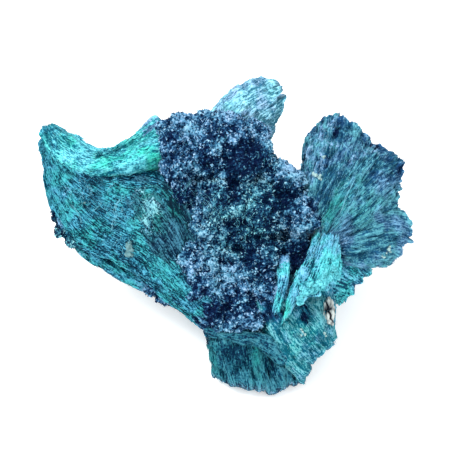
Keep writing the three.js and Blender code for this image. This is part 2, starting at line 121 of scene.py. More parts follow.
def sheaf_mesh(name, stations, seed, root=1.0, ledge=0.3, ragged=1.4, grit=0.2, flute=0.3, bundle=9.0,
               contrast=0.6, velvet_root=1.0, washes=(), greens=(), steps=((0, 0), (1, 0))):
    """The skin of a sheaf. Its fibres grow away from the share root of its length. Each station is
    its thickness and the places across its middle, and steps lengthen its free end."""
    PITCH, STEP = 0.14, 0.5
    END_ROWS = np.array([0, 0.08, 0.2, 0.36, 0.56, 0.8, 1.1, 1.45])
    ROUNDING = 1.1
    BROKEN_WIDTHS = (2.4, 1.0, 0.4)
    END_SHARE = 0.3
    DUST_REACH = 3.5
    WASH_DEPTH = 0.8
    LOWEST, HIGHEST = -1.3, 1.1
    rng = np.random.default_rng(seed)
    control = [on_face(across) for _, *across in stations]
    width = max(np.linalg.norm(np.diff(c, axis=0), axis=1).sum() for c in control)
    columns = 2 * int(width / PITCH / 2)
    t = np.linspace(0, 1, columns + 1)
    across = np.stack([spline(c, t) for c in control])
    length = np.linalg.norm(np.diff(across, axis=0), axis=2).sum(axis=0).max()
    inset = (END_ROWS[-1] + STEP / 2) / length
    body_rows = np.linspace(inset, 1 - inset, int(length * (1 - 2 * inset) / STEP) + 2)
    s = np.concatenate([END_ROWS / length, body_rows, 1 - END_ROWS[::-1] / length])
    rows = len(s) - 1
    s = s[:, None] * np.ones(columns + 1)
    x = np.broadcast_to(t * width, s.shape)
    y = s * length

    # The ends break off bundle by bundle, and each bundle's end is rounded.
    line = t * width
    broken, bundles = [], []
    for _ in range(2):
        (coarse, bow), (medium, _), (fine, _) = [knuckles(line, wide, rng) for wide in BROKEN_WIDTHS]
        broken.append((0.8 * coarse + 0.4 * medium + 0.1 * fine) * ragged / length)
        bundles.append(bow - 0.7)
    broken[int(root < 0.4)] += np.interp(t, *np.transpose(steps)) / length
    near = np.clip(1 - s / END_SHARE, 0, 1)
    far = np.clip((s - (1 - END_SHARE)) / END_SHARE, 0, 1)
    place = s - near * broken[0] + far * broken[1]
    middle = spline(across, place)
    inside = np.clip(place, 0.01, 0.99)
    ahead = spline(across, inside + 0.01) - spline(across, inside - 0.01)
    along = ahead / np.linalg.norm(ahead, axis=2, keepdims=True)
    middle += along * (np.clip(place - 1, 0, None) + np.clip(place, None, 0))[..., None] * length
    sideways = np.gradient(middle, axis=1)
    sideways /= np.linalg.norm(sideways, axis=2, keepdims=True)
    uneven = 0.45 * wander(x / 3, y / 2.4, rng) + 0.25 * wander(x / 1.5, y / 0.9, rng)
    middle += sideways * (uneven * (2 * t - 1) ** 6)[..., None]
    normal = np.cross(sideways, along)
    normal /= np.linalg.norm(normal, axis=2, keepdims=True)
    if (normal @ FACE_OUT).mean() < 0:
        normal = -normal

    # A wash is a place that is dark and hollow, or light and raised, patchily, or dusted with crystal tips,
    # and a green is one with a greener growth. Some washes are the sheaves' own darker or paler patches;
    # others paint the shade in grooves and under overhangs, or a highlight along a crest.
    height = (middle - [0, 0, FACE_HEIGHT]) @ FACE_UP
    uneven_rng = np.random.default_rng([seed, 1])
    patchy = 1 + 0.9 * wander(x / 0.5, y / 1.2, uneven_rng) + 0.7 * wander(x / 1.6, y / 3.5, uneven_rng)
    from_root = np.abs(place - root) * length

    def nearness(right, up, size):
        return patchy * np.exp(-((middle[..., 0] - right) ** 2 + (height - up) ** 2) / size ** 2)

    wash, green = np.zeros_like(x), np.zeros_like(x)
    dust = velvet_root * np.clip(1 - from_root / DUST_REACH, 0, 1)
    for *place_and_size, shade, grains in washes:
        wash = wash + shade * nearness(*place_and_size)
        dust = dust + grains * nearness(*place_and_size)
    for *place_and_size, amount in greens:
        green = green + amount * nearness(*place_and_size)

    # Flutes part the sheaf, and within them the bundles lie like shingles, each one rising along
    # its length and breaking off short of the next. Fine fibres and a grit of broken ones cover all.
    sway = 0.6 * wander(x / 4, y / 9, rng)
    reach = from_root / from_root.max()

    def shingles(wide, long):
        column = x / wide + sway + 0.35 * wander(x / wide, y / 3, rng)
        column = (column - column.min()).astype(int)
        row = from_root / long + rng.uniform(0, 4, column.max() + 1)[column]
        step = row.astype(int)
        return rng.uniform(0, 1, (column.max() + 1, step.max() + 1))[column, step] + 0.7 * (row - step) - 0.8

    ends = [np.clip(1 - gone * length / 5, 0, 1) for gone in (place - place[0], place[-1] - place)]
    parted = sum(end * bow for end, bow in zip(ends, bundles))
    reliefs = []
    for _ in range(2):
        fold = 2 * np.abs(wander(x / 2.3 + sway, y / 14, rng)) ** 0.6 - 1
        ridge = wander(x / 4 + sway, y / 20, rng)
        fibre = wander(x / 0.28 + 2 * sway, y / 7, rng)
        rough = wander(x / 0.5, y / 0.8, rng) + 0.8 * wander(x / 1.4, y / 1.8, rng)
        relief = flute * (fold + ridge) + ledge * shingles(1.7, bundle)
        relief = relief + 0.6 * ledge * shingles(0.6, 0.6 * bundle)
        relief = relief + 0.6 * parted + 0.11 * fibre + grit * rough * (0.5 + reach) + WASH_DEPTH * wash
        reliefs.append(np.clip(relief, LOWEST, HIGHEST))
    share = 2 * t - 1
    gap = np.minimum(place - place[0], place[-1] - place) * length / ROUNDING
    closing = np.sqrt(1 - (1 - np.clip(gap, 0, 1)) ** 2)
    body = np.sqrt(np.clip(1 - share ** 4, 0, 1)) * closing
    thick = np.interp(place, np.linspace(0, 1, len(stations)), [row[0] for row in stations]) / 2
    inner = np.clip((1 - np.abs(share)) * 8, 0, 1) * closing
    front = middle + normal * (thick * body + inner * reliefs[0])[..., None]
    back = middle - normal * (thick * body + inner * reliefs[1])[..., None]

    # One ring per row: across the front and home along the back, where every other column is enough.
    def around(front_values, back_values):
        return np.concatenate([front_values, back_values[:, -3:1:-2]], axis=1)

    ring = around(front, back)
    wide = ring.shape[1]
    points = ring.reshape(-1, 3)
    points[:, 2] = np.maximum(points[:, 2], 0)
    a = (np.arange(rows)[:, None] * wide + np.arange(wide)).ravel()
    b = (np.arange(rows)[:, None] * wide + (np.arange(wide) + 1) % wide).ravel()
    quads = np.stack([a, b, b + wide, a + wide], axis=1).tolist()
    behind = [0, *range(wide - 1, columns, -1), columns]
    cap = [[*range(2 * k, 2 * k + 3), *[back for back in (behind[k + 1], behind[k]) if columns < back]]
           for k in range(columns // 2)]
    caps = [side[::-1] for side in cap] + [[k + rows * wide for k in side] for side in cap]
    mesh = bpy.data.meshes.new(name)
    mesh.from_pydata((points * MM).tolist(), [], quads + caps)
    if mesh_volume(mesh) < 0:
        mesh.flip_normals()
    mesh.shade_smooth()

    # What the skin and its colours follow: which way the fibres grow, where along and across
    # them a point lies, how light and how dusty it is, how many crystals stand on it, how green
    # it is, and how many splinters lie on it.
    sign = np.where(place < root, -1.0, 1.0)[..., None]
    grain = np.stack([x, y, np.full_like(x, seed)], axis=2)
    end = np.clip(1.2 - 2 * gap, 0, 1)
    # The tone falls in the grooves and hollows and rises on the crests with the relief: painted shade and
    # painted highlight, on top of the washes.
    tones = [np.clip(0.55 + contrast * relief + 0.4 * wash - 0.3 * end, 0, 1) for relief in reliefs]
    dust = np.clip(1.6 * dust + 0.7 * wander(x / 2.2, y / 2.6, rng) * np.clip(6 * dust, 0, 1), 0, 1)
    dust = np.maximum(dust, 0.35 * end)
    keep(mesh, "growth", around(along * sign, along * sign))
    keep(mesh, "grain", around(grain, grain + [0, 0, 7]))
    keep(mesh, "tone", around(*tones))
    keep(mesh, "dust", around(dust, dust))
    keep(mesh, "crop", around(dust, dust))
    keep(mesh, "moss", np.clip(around(green, green), 0, 1))
    keep(mesh, "lay", np.clip(around(gap, gap) - 1, 0, 1))
    return mesh


def trail(start, end, size, *amounts):
    """Washes of one size side by side from start to end."""
    count = int(math.dist(start, end) / size) + 2
    return [(*spot, size, *amounts) for spot in np.linspace(start, end, count).tolist()]


def mesh_volume(mesh):
    """The volume inside the mesh, which is below nothing where the mesh is inside out."""
    mesh.calc_loop_triangles()
    corners = np.zeros(3 * len(mesh.loop_triangles), np.int32)
    mesh.loop_triangles.foreach_get("vertices", corners)
    points = np.zeros(3 * len(mesh.vertices))
    mesh.vertices.foreach_get("co", points)
    p = points.reshape(-1, 3)[corners.reshape(-1, 3)]
    return np.einsum("ij,ij->i", p[:, 0], np.cross(p[:, 1], p[:, 2])).sum() / 6


def feed(node, inputs):
    """Sets each of the node's inputs, or links it where the value comes from another node."""
    for label, value in inputs.items():
        if isinstance(value, bpy.types.NodeSocket):
            node.id_data.links.new(value, node.inputs[label])
        else:
            node.inputs[label].default_value = value


def builder(tree):
    """Two tools for the tree: one adds a node and gives an output of it, or all, and one a sum."""

    def made(kind, inputs, output=0, **settings):
        node = tree.nodes.new(kind)
        for setting, value in settings.items():
            setattr(node, setting, value)
        feed(node, inputs)
        return node.outputs if output is None else node.outputs[output]

    def maths(operation, first, second):
        return made("ShaderNodeMath", {0: first, 1: second}, operation=operation)

    return made, maths


def skin_tree():
    """Geometry nodes that lay splinters along a skin and stand crystal tips all over it."""
    tree = bpy.data.node_groups.new("skin", "GeometryNodeTree")
    face = tree.interface
    face.new_socket("Geometry", in_out="INPUT", socket_type="NodeSocketGeometry")
    for label, kind, value in (
        ("Splinters", "NodeSocketFloat", 7.0e6),
        ("Splinter length", "NodeSocketFloat", 2.2 * MM),
        ("Splinter width", "NodeSocketFloat", 0.1 * MM),
        ("Crystals", "NodeSocketFloat", 3.0e6),
        ("Crystal length", "NodeSocketFloat", 0.5 * MM),
        ("Crystal width", "NodeSocketFloat", 0.16 * MM),
        ("Crystal contrast", "NodeSocketFloat", 1.1),
        ("Seed", "NodeSocketInt", 1),
    ):
        face.new_socket(label, in_out="INPUT", socket_type=kind).default_value = value
    face.new_socket("Finish", in_out="INPUT", socket_type="NodeSocketMaterial")
    face.new_socket("Geometry", in_out="OUTPUT", socket_type="NodeSocketGeometry")
    made, maths = builder(tree)
    given = made("NodeGroupInput", {}, None)

    def named(label, kind="FLOAT"):
        return made("GeometryNodeInputNamedAttribute", {"Name": label}, "Attribute", data_type=kind)

    def chance(low, high, offset):
        return made("FunctionNodeRandomValue", {2: low, 3: high, "Seed": offset}, 1)

    def leaned(way, reach, offset):
        """The way, thrown off by up to the reach along each axis."""
        low, high = (-reach, -reach, -reach), (reach, reach, reach)
        thrown = made("FunctionNodeRandomValue", {"Min": low, "Max": high, "Seed": offset},
                      data_type="FLOAT_VECTOR")
        return made("ShaderNodeVectorMath", {0: way, 1: thrown})

    def facing(way):
        return made("FunctionNodeAlignRotationToVector", {"Vector": way}, axis="Z")

    def lying(normal):
        """Along the growth with the tip lifted a little, and swung a little either way."""
        heading = leaned(named("growth", "FLOAT_VECTOR"), 0.2, 31)
        inputs = {0: normal, 1: (0.07, 0.07, 0.07), 2: heading}
        return facing(made("ShaderNodeVectorMath", inputs, operation="MULTIPLY_ADD"))

    def standing(normal):
        """Out of the skin, leaning any way."""
        return facing(leaned(normal, 0.8, 41))

    def scattered(density, offset, stance, length, width, sink, spread):
        """Three-sided needles on the skin. Each stands as stance says and has its own tone."""
        seed = maths("ADD", given["Seed"], float(offset))
        spots = made("GeometryNodeDistributePointsOnFaces",
                     {"Mesh": given["Geometry"], "Density": density, "Seed": seed}, None)
        # Each needle gets a random tone of its own, most a little darker and a few much paler, more so on
        # lighter skin: partly the needles' own colours, and in the palest, painted glints.
        own = maths("MULTIPLY", maths("SUBTRACT", maths("POWER", chance(0, 1, offset), 3.0), 0.22), spread)
        tone = maths("ADD", named("tone"), maths("MULTIPLY", own, maths("ADD", named("tone"), 0.45)))
        toned = made("GeometryNodeStoreNamedAttribute",
                     {"Geometry": spots["Points"], "Name": "tone", "Value": tone})
        thick = maths("MULTIPLY", width, chance(0.4, 1, offset + 1))
        tall = maths("MULTIPLY", length, chance(0.35, 1, offset + 2))
        size = made("ShaderNodeCombineXYZ", {"X": thick, "Y": thick, "Z": tall})
        needle = made("GeometryNodeMeshCone",
                      {"Vertices": 3, "Radius Top": 0.0, "Radius Bottom": 1.0, "Depth": 1.0})
        sunk = made("GeometryNodeTransform", {"Geometry": needle, "Translation": (0, 0, -sink)})
        turn = stance(spots["Normal"])
        needles = made("GeometryNodeInstanceOnPoints",
                       {"Points": toned, "Instance": sunk, "Rotation": turn, "Scale": size})
        return made("GeometryNodeRealizeInstances", {"Geometry": needles})

    joined = tree.nodes.new("GeometryNodeJoinGeometry")
    splinters = scattered(maths("MULTIPLY", given["Splinters"], named("lay")), 10, lying,
                          given["Splinter length"], given["Splinter width"], 0.45, 1.2)
    crystals = scattered(maths("MULTIPLY", given["Crystals"], named("crop")), 20, standing,
                         given["Crystal length"], given["Crystal width"], 0.3, given["Crystal contrast"])
    for part in (splinters, crystals, given["Geometry"]):
        feed(joined, {"Geometry": part})

    # Nothing reaches below the break that the specimen rests on.
    where = made("ShaderNodeSeparateXYZ", {0: made("GeometryNodeInputPosition", {})}, None)
    above = made("ShaderNodeCombineXYZ",
                 {"X": where["X"], "Y": where["Y"], "Z": maths("MAXIMUM", where["Z"], 0.0)})
    raised = made("GeometryNodeSetPosition", {"Geometry": joined.outputs["Geometry"], "Position": above})
    finished = made("GeometryNodeSetMaterial", {"Geometry": raised, "Material": given["Finish"]})
    made("NodeGroupOutput", {"Geometry": finished}, None)
    return tree


SKIN = skin_tree()


def placed(mesh):
    """The mesh as a finished piece, at the origin, on the specimen's one body."""
    piece = bpy.data.objects.new(mesh.name, mesh)
    bpy.context.scene.collection.objects.link(piece)
    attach(piece, "root")
    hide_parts("malachite")


def grown(mesh, finish, seed, **inputs):
    """The mesh with its splinters and crystals on it, as one plain piece."""
    draft = bpy.data.objects.new(mesh.name + "_draft", mesh)
    bpy.context.scene.collection.objects.link(draft)
    modifier = draft.modifiers.new("grown", "NODES")
    modifier.node_group = SKIN
    sockets = {item.name: item.identifier for item in SKIN.interface.items_tree if item.in_out == "INPUT"}
    modifier[sockets["Finish"]] = finish
    modifier[sockets["Seed"]] = seed
    for label, value in inputs.items():
        modifier[sockets[label.replace("_", " ").capitalize()]] = value
    ready = draft.evaluated_get(bpy.context.evaluated_depsgraph_get())
    whole = bpy.data.meshes.new_from_object(ready)
    name = mesh.name
    bpy.data.objects.remove(draft)
    bpy.data.meshes.remove(mesh)
    whole.name = name
    placed(whole)


VELVET_DEEP = (0.0006, 0.006, 0.035)
VELVET_BODY = (0.0087, 0.055, 0.14)
VELVET_PALE = (0.09, 0.256, 0.425)
VELVET_TIP = (0.28, 0.47, 0.68)
GREEN_SILK = (0.48, 1.03, 0.84)
GREEN_VELVET = (0.78, 1.14, 0.86)


def ramp(level, stops):
    """The colour for a level between stops, each a position and a colour."""
    colours = level.id_data.nodes.new("ShaderNodeValToRGB")
    row = colours.color_ramp.elements
    for _ in stops[2:]:
        row.new(0.5)
    for stop, (position, colour) in zip(row, stops):
        stop.position, stop.color = position, (*colour, 1)
    feed(colours, {"Fac": level})
    return colours.outputs["Color"]


def malachite(name, deep, body, light, patch):
    """Fibrous malachite, streaked along the grain, with painted shade in the grooves and a painted highlight
    on the crests brought in by the tone, tinted in clouds by patch, and velvet where the dust of crystal
    tips lies on it."""
    material = bpy.data.materials.new(name)
    material.use_nodes = True
    made, maths = builder(material.node_tree)

    def between(value, low, high):
        return made("ShaderNodeMapRange", {"Value": value, "From Min": low, "From Max": high})

    def cloud(vector, scale, detail, low, high):
        texture = made("ShaderNodeTexNoise", {"Vector": vector, "Scale": scale, "Detail": detail})
        return between(texture, low, high)

    def mix(blend, factor, first, second):
        return made("ShaderNodeMix", {"Factor": factor, "A": first, "B": second}, "Result",
                    data_type="RGBA", blend_type=blend)

    def attribute(label, part="Fac"):
        return made("ShaderNodeAttribute", {}, part, attribute_name=label)

    def along_grain(across, along, detail, low, high):
        inputs = {"Vector": attribute("grain", "Vector"), "Scale": (across, along, 1)}
        return cloud(made("ShaderNodeMapping", inputs), 1.0, detail, low, high)

    tone = attribute("tone")
    place = made("ShaderNodeTexCoord", {}, "Object")
    streak = along_grain(5.2, 0.42, 4.0, 0.32, 0.7)
    strands = along_grain(10, 0.9, 2.0, 0.3, 0.7)
    wave = along_grain(2.2, 0.25, 2.0, 0, 1)
    threads = between(maths("ABSOLUTE", maths("SUBTRACT", wave, 0.5), 0.0), 0.07, 0)
    fleck = cloud(place, 2600.0, 3.0, 0.34, 0.66)
    texture = maths("ADD", maths("MULTIPLY", streak, 0.7), maths("MULTIPLY", strands, 0.45))
    texture = maths("ADD", texture, maths("MULTIPLY", fleck, 0.62))
    texture = maths("ADD", texture, maths("MULTIPLY", threads, 0.45))
    # The tone carries the painted shade of the grooves and the painted highlight of the crests.
    relief = maths("MULTIPLY", tone, 0.7)
    level = maths("ADD", relief, maths("MULTIPLY", maths("SUBTRACT", texture, 0.94), 1.38))
    silk = ramp(level, ((0.1, deep), (0.5, body), (0.9, light)))
    silk = mix("MULTIPLY", cloud(place, 240.0, 4.0, 0.46, 0.6), silk, (*patch, 1))
    silk = mix("MULTIPLY", attribute("moss"), silk, (*GREEN_SILK, 1))

    grains = maths("ADD", tone, maths("MULTIPLY", maths("SUBTRACT", fleck, 0.5), 0.5))
    velvet = ramp(grains, ((0.05, VELVET_DEEP), (0.35, VELVET_BODY), (0.65, VELVET_PALE),
                           (1.0, VELVET_TIP)))
    velvet = mix("MULTIPLY", attribute("moss"), velvet, (*GREEN_VELVET, 1))
    speckle = maths("ADD", attribute("dust"), maths("MULTIPLY", maths("SUBTRACT", fleck, 0.5), 0.7))

    bump = made("ShaderNodeBump", {"Strength": 0.6, "Distance": 0.08 * MM, "Height": level})
    feed(material.node_tree.nodes["Principled BSDF"], {
        "Base Color": mix("MIX", between(speckle, 0.35, 0.65), silk, velvet),
        "Roughness": 0.45,
        "Specular IOR Level": 0.05,
        "Normal": bump,
    })
    return material


WING = [
    [3, [-34, 22, 2], [-35.2, 21.9, 2.2], [-36.2, 21.6, 2], [-36.9, 20.8, 1.2]],
    [4.5, [-30.6, 20.2, 0], [-32, 18.4, 1], [-33.2, 16.8, 1.4], [-34.6, 15.2, 1]],
    [5, [-25, 16.6, -1.5], [-25.6, 14.8, 0], [-27, 13, 1.8], [-29.6, 11.2, 2.2]],
    [5, [-19, 18.7, -3], [-18.6, 16.6, -1], [-18.2, 15, 2], [-18.4, 12.8, 4.5]],
    [6, [-13.9, 23.7, -5], [-11.6, 21.2, -3], [-10.6, 18, 0], [-10.4, 15.4, 2.6]],
]
# The wing's first two trails paint a highlight along the crest of its fold.
WING_WASHES = [
    *trail((-29, 12), (-19, 13), 0.6, 0.2, 0), *trail((-19, 13), (-11.6, 15.4), 0.6, 0.16, 0),
    *trail((-26, 14.4), (-20, 15.8), 0.9, -0.6, 0), *trail((-20, 15.8), (-13, 18), 0.7, -0.35, 0),
    (-35.6, 20.6, 2.6, -0.9, 0), (-33.2, 19, 2.4, -0.35, 0), (-37, 20, 1.3, -0.5, 0),
    *trail((-30, 15.2), (-23.4, 17), 0.7, 0.15, 0), (-32.6, 15.6, 1.6, 0.15, 0),
    (-15, 20.4, 2.2, 0.1, 0.35), (-11.4, 21.4, 1.8, -0.2, 0.5),
]
WING_GREENS = [*trail((-27, 12), (-12.6, 15.4), 0.9, 0.45), (-30.6, 17, 2, 0.3), (-22, 15.6, 1.6, 0.4)]
wing_silk = malachite("wing_silk", deep=(0.006, 0.12, 0.2), body=(0.082, 0.47, 0.59),
                      light=(0.21, 0.69, 0.78), patch=(0.7, 1.04, 0.86))
grown(sheaf_mesh("wing", WING, 11, root=0.55, ragged=0.6, contrast=0.5, velvet_root=0.0,
                 washes=WING_WASHES, greens=WING_GREENS), wing_silk, 1)

# ---- Apron ----
# The broad lower sheaf at the left, grown from the root under the crust. It is darker than the
# wing, pitted, and dusted with crystal tips towards the crust.
APRON = [
    [3, [-34, 19.4, 0.5], [-34.8, 19.4, 0.5], [-35.4, 19.4, 0.5], [-35.8, 19.4, 0.4], [-36.1, 19.2, 0]],
    [4.5, [-27.8, 12.4, 1], [-29.6, 12, 1.6], [-31.4, 11.4, 1.6], [-33.4, 10.4, 0.6], [-35.6, 9.6, -0.8]],
    [5.5, [-20.2, 12.2, 1.5], [-21, 7.6, 4], [-23, 4.2, 4.2], [-26.6, 1.8, 2.6], [-31, -0.8, -0.6]],
    [6, [-12.6, 12.4, 1], [-12.8, 5, 5], [-14.4, -0.6, 5.8], [-17.6, -3.2, 4.2], [-21.2, -4.2, 0.8]],
    [6.5, [-8, 1, 2], [-7.6, -3.4, 5], [-8.4, -7, 6], [-10, -9.4, 4.4], [-11.8, -10.6, 1.2]],
    [7, [-2.2, -10, 2], [-2, -12.2, 4], [-2, -14.6, 4.5], [-2, -16.4, 4], [-2.4, -18, 2]],
]
# The trail from (-27, 10.4) to (-12, 11) is painted shadow along the apron's top, under the wing's
# overhanging edge.
APRON_WASHES = [
    (-34, 15, 2.4, 0.15, 0), (-29.4, 10.9, 0.7, -0.8, 0), (-22.2, 10.8, 0.8, -0.6, 0),
    (-26.2, 5.8, 0.7, -0.8, 0), (-29.4, 6.2, 0.6, -0.5, 0), (-31, 8, 2.4, 0.2, 0.04),
    (-30.6, 3.6, 2, 0.15, 0.06), (-34.6, 10, 1.2, -0.25, 0), (-25.4, 8.4, 2.6, -0.35, 0.1),
    (-24, 3.4, 2.4, -0.25, 0.1), (-20.6, 8, 1.6, 0.1, 0.1), *trail((-30, 0.4), (-23, -3.4), 1.6, -0.25, 0),
    (-19, -2, 1.6, 0.1, 0), *trail((-19, -4), (-12, -9), 1.4, -0.15, 0),
    *trail((-18.4, 0), (-8, -11), 1.2, -0.2, 0), (-33, 1.6, 1.6, -0.3, 0.3), (-30, -1.4, 1.6, -0.2, 0.2),
    *trail((-27, 10.4), (-12, 11), 1.2, -0.35, 0), *trail((-12, 8.6), (-5, -3), 1.6, -0.35, 0),
    *trail((-24, 1), (-15, -5), 0.7, -0.25, 0), (-4, -17, 3, -0.8, 0.3),
]
APRON_GREENS = [(-22, 8.8, 2.4, 0.5), (-24.4, 3.6, 4, 0.35), (-26, 0.6, 2, 0.2), (-13, -8, 3, 0.3)]
apron_silk = malachite("apron_silk", deep=(0.0004, 0.018, 0.045), body=(0.0074, 0.12, 0.205),
                       light=(0.08, 0.36, 0.51), patch=(0.7, 1.1, 0.88))
grown(sheaf_mesh("apron", APRON, 12, root=1.0, ragged=0.7, grit=0.3, contrast=0.75, velvet_root=0.5,
                 washes=APRON_WASHES, greens=APRON_GREENS),
      apron_silk, 2, crystals=5.0e6, crystal_width=0.26 * MM)

# ---- Blade ----
# A narrow grey-blue sheaf that lies on the apron, from the crust up to the wing, with a heavy
# dust of crystal tips.
BLADE = [
    [2.5, [-16, 11.4, 3], [-19.2, 9.8, 4], [-20.8, 7.6, 4.5]],
    [3.5, [-10, 8.6, 4], [-15, 6, 6.5], [-18.4, 1.8, 7]],
    [3.5, [-6.4, 2.6, 5.5], [-10.4, 0, 8], [-13.8, -4.4, 8]],
    [3, [-4, -4.6, 5.5], [-7, -6.8, 7.8], [-9.6, -10, 7]],
]
BLADE_WASHES = [
    (-15.6, 8, 1.2, 0.1, 0.4), (-14.4, 5, 1.4, 0.1, 0.3), (-16.2, 2.2, 1.5, 0.1, 0.6),
    (-15, 1, 0.8, 0.15, 0.5), (-17, 7.6, 1.6, -0.1, 0.1), (-11, 2, 2.4, -0.15, 0), (-9.6, -4, 3, -0.2, 0),
    *trail((-11, 9), (-7.4, 0), 0.9, -0.2, 0),
]
BLADE_GREENS = [*trail((-11.4, 7), (-8.4, 1), 1, 0.55), *trail((-14.2, 8.4), (-15.4, 1.2), 2.4, 0.5)]
blade_silk = malachite("blade_silk", deep=(0.0005, 0.011, 0.032), body=(0.004, 0.04, 0.082),
                       light=(0.045, 0.175, 0.26), patch=(0.8, 1.05, 0.9))
grown(sheaf_mesh("blade", BLADE, 13, root=1.0, grit=0.3, contrast=0.85, velvet_root=0.4,
                 washes=BLADE_WASHES, greens=BLADE_GREENS),
      blade_silk, 3, crystals=6.0e6, crystal_width=0.3 * MM)

# ---- Underleaf ----
# A thin sheaf that comes out from under the apron, parted from it by a hollow along which a line of painted
# shade runs, and is of the apron's silk.
UNDERLEAF = [
    [2, [-31, 0.4, -2.6], [-31, -0.8, -3], [-31, -2, -3]],
    [3.5, [-25.5, -2, -1], [-25.8, -3.8, -2], [-26.6, -5.5, -3]],
    [4.5, [-19.4, -5, -0.5], [-19.6, -7, -1.5], [-19.8, -8.8, -3]],
    [4.5, [-13, -8.6, 0], [-13.3, -10.2, -1], [-13.6, -11.4, -2.5]],
    [4, [-6.5, -12.5, 0], [-6.8, -13.6, 0], [-7, -14.8, -1]],
]
UNDERLEAF_WASHES = [
    (-13.6, -11, 2.2, -1.3, 1), (-11.4, -13, 1.2, -0.8, 0.6), (-28, -3, 2, -0.1, 0.1),
    (-20, -8.4, 3, 0.2, 0), *trail((-24, -3.4), (-16.4, -7.2), 0.5, -0.8, 0),
]
grown(sheaf_mesh("underleaf", UNDERLEAF, 14, root=1.0, velvet_root=0.4, washes=UNDERLEAF_WASHES),
      apron_silk, 4)

# ---- Top column ----
# A stout pale sheaf that rises from behind the velvet crust. Its bundles broke off square, so it
# ends in blocky steps.
COLUMN = [
    [8, [-4.6, 18, -12], [-2, 16.6, -10], [1.8, 14.6, -10], [6, 12.6, -12]],
    [9, [-2, 24.4, -10], [1.2, 22.4, -7], [4.4, 20.6, -7], [7.4, 18, -10]],
    [7, [4, 29.4, -8], [6.2, 27.4, -5], [7.8, 24.6, -5], [8.2, 22, -8]],
    [4, [8.4, 31.8, -6], [11.2, 30.6, -4], [11.6, 27.4, -4.5], [9.2, 23.8, -7]],
]
COLUMN_STEPS = [
    (0, 0), (0.3, -0.2), (0.5, -0.3), (0.53, -2.2), (0.59, -2.2), (0.62, -0.1), (0.8, 0), (0.84, -2.4),
    (1, -2.2),
]
COLUMN_WASHES = [*trail((1, 21.6), (8, 20), 1.8, -0.3, 0), (8.4, 23, 1.4, -0.25, 0), (6, 27, 2, 0.2, 0)]
COLUMN_GREENS = [(7.4, 22, 1.8, 0.3), (2.6, 24.4, 1.6, 0.2), (10, 29, 1.6, 0.2)]
column_silk = malachite("column_silk", deep=(0.03, 0.18, 0.27), body=(0.18, 0.46, 0.57),
                        light=(0.35, 0.74, 0.88), patch=(1.12, 0.86, 0.98))
grown(sheaf_mesh("column", COLUMN, 21, root=0.0, ledge=0.7, grit=0.25, bundle=3.0, contrast=0.68,
                 velvet_root=0.0, washes=COLUMN_WASHES, greens=COLUMN_GREENS, steps=COLUMN_STEPS),
      column_silk, 5)

# ---- Right fan and its lobes ----
# A broad fan of fibres with two lobes under it, all grown from one waist at the crust. Their free
# edge broke off in steps, bundle by bundle.
RIGHT_FAN = [
    [6, [15.4, -1, -2], [17.6, 0.8, -1], [19.6, 1, 0], [21, 0.2, 0], [22, -1.8, 0]],
    [8, [15.6, 8, -3], [19.4, 9, 0], [23.2, 7.8, 2], [25.8, 5, 3], [27, 1.8, 2]],
    [6, [15.7, 15.6, -4.5], [21.2, 17.6, -1], [27, 15.2, 1], [31, 10.8, 1], [31.6, 5.8, 0]],
    [3.5, [16.2, 20, -5], [22.2, 23.8, -2], [29, 18.8, -1], [35.6, 13.8, -1.5], [33.2, 7, -2]],
]
FAN_WASHES = [
    *trail((21.2, 1.4), (24.6, 7.6), 1.1, 0.35, 0), *trail((24.6, 7.6), (28, 13), 0.9, 0.3, 0),
    (24, 13, 7, -0.1, 0.1), (18.8, 14.6, 2.2, -0.5, 0.5), (20.6, 22, 1.8, -0.5, 0.5),
    (22.2, 19.8, 1.4, -0.4, 0.4), (28, 18, 2.6, -0.1, 0.2), (34.6, 14.6, 1.8, -0.4, 0.4),
    *trail((20.6, 17.6), (29.6, 16), 0.6, 0.3, 0.1), (31, 7, 2.6, -0.15, 0), (25, 3.4, 2.4, -0.1, 0),
]
FAN_GREENS = [*trail((21.4, 1.6), (25.6, 10.6), 1.2, 0.5), (26.6, 6, 3, 0.4), (16.6, 14, 1.8, 0.5)]
FAN_STEPS = [
    (0, -0.4), (0.1, -0.2), (0.21, 0.4), (0.235, -0.8), (0.26, 0.4), (0.3, 0.8), (0.42, 0.7), (0.47, 0),
    (0.55, 0.6), (0.62, 1.2), (0.72, 1.2), (0.75, 0.6), (0.8, -1.1), (0.84, -2), (0.9, -2.6), (1, -2),
]
fan_silk = malachite("fan_silk", deep=(0.009, 0.078, 0.165), body=(0.034, 0.17, 0.25),
                     light=(0.115, 0.385, 0.47), patch=(1.2, 0.84, 1.05))
grown(sheaf_mesh("right_fan", RIGHT_FAN, 31, root=0.0, ledge=0.8, bundle=3.5, flute=0.5, grit=0.4,
                 contrast=0.8, velvet_root=0.3, washes=FAN_WASHES, greens=FAN_GREENS, steps=FAN_STEPS),
      fan_silk, 6)

MID_LOBE = [
    [4, [21.6, 3, 0.5], [23, 0.4, 1]],
    [4.5, [26.8, 7.4, 1.5], [28.4, 2.6, 2.5]],
    [4, [31.2, 9.4, 0.5], [33, 4.4, 1.5]],
    [2.5, [33.6, 9.8, -1], [35, 5, 0.5]],
]
MID_WASHES = [(32.6, 7.4, 2, -0.35, 0.3)]
MID_STEPS = [(0, -2), (0.3, -1.9), (0.35, -1.2), (1, -1)]
grown(sheaf_mesh("mid_lobe", MID_LOBE, 37, root=0.0, ledge=0.7, bundle=4.0, flute=0.5, grit=0.3,
                 contrast=0.8, velvet_root=0.2, washes=MID_WASHES, steps=MID_STEPS), fan_silk, 20)

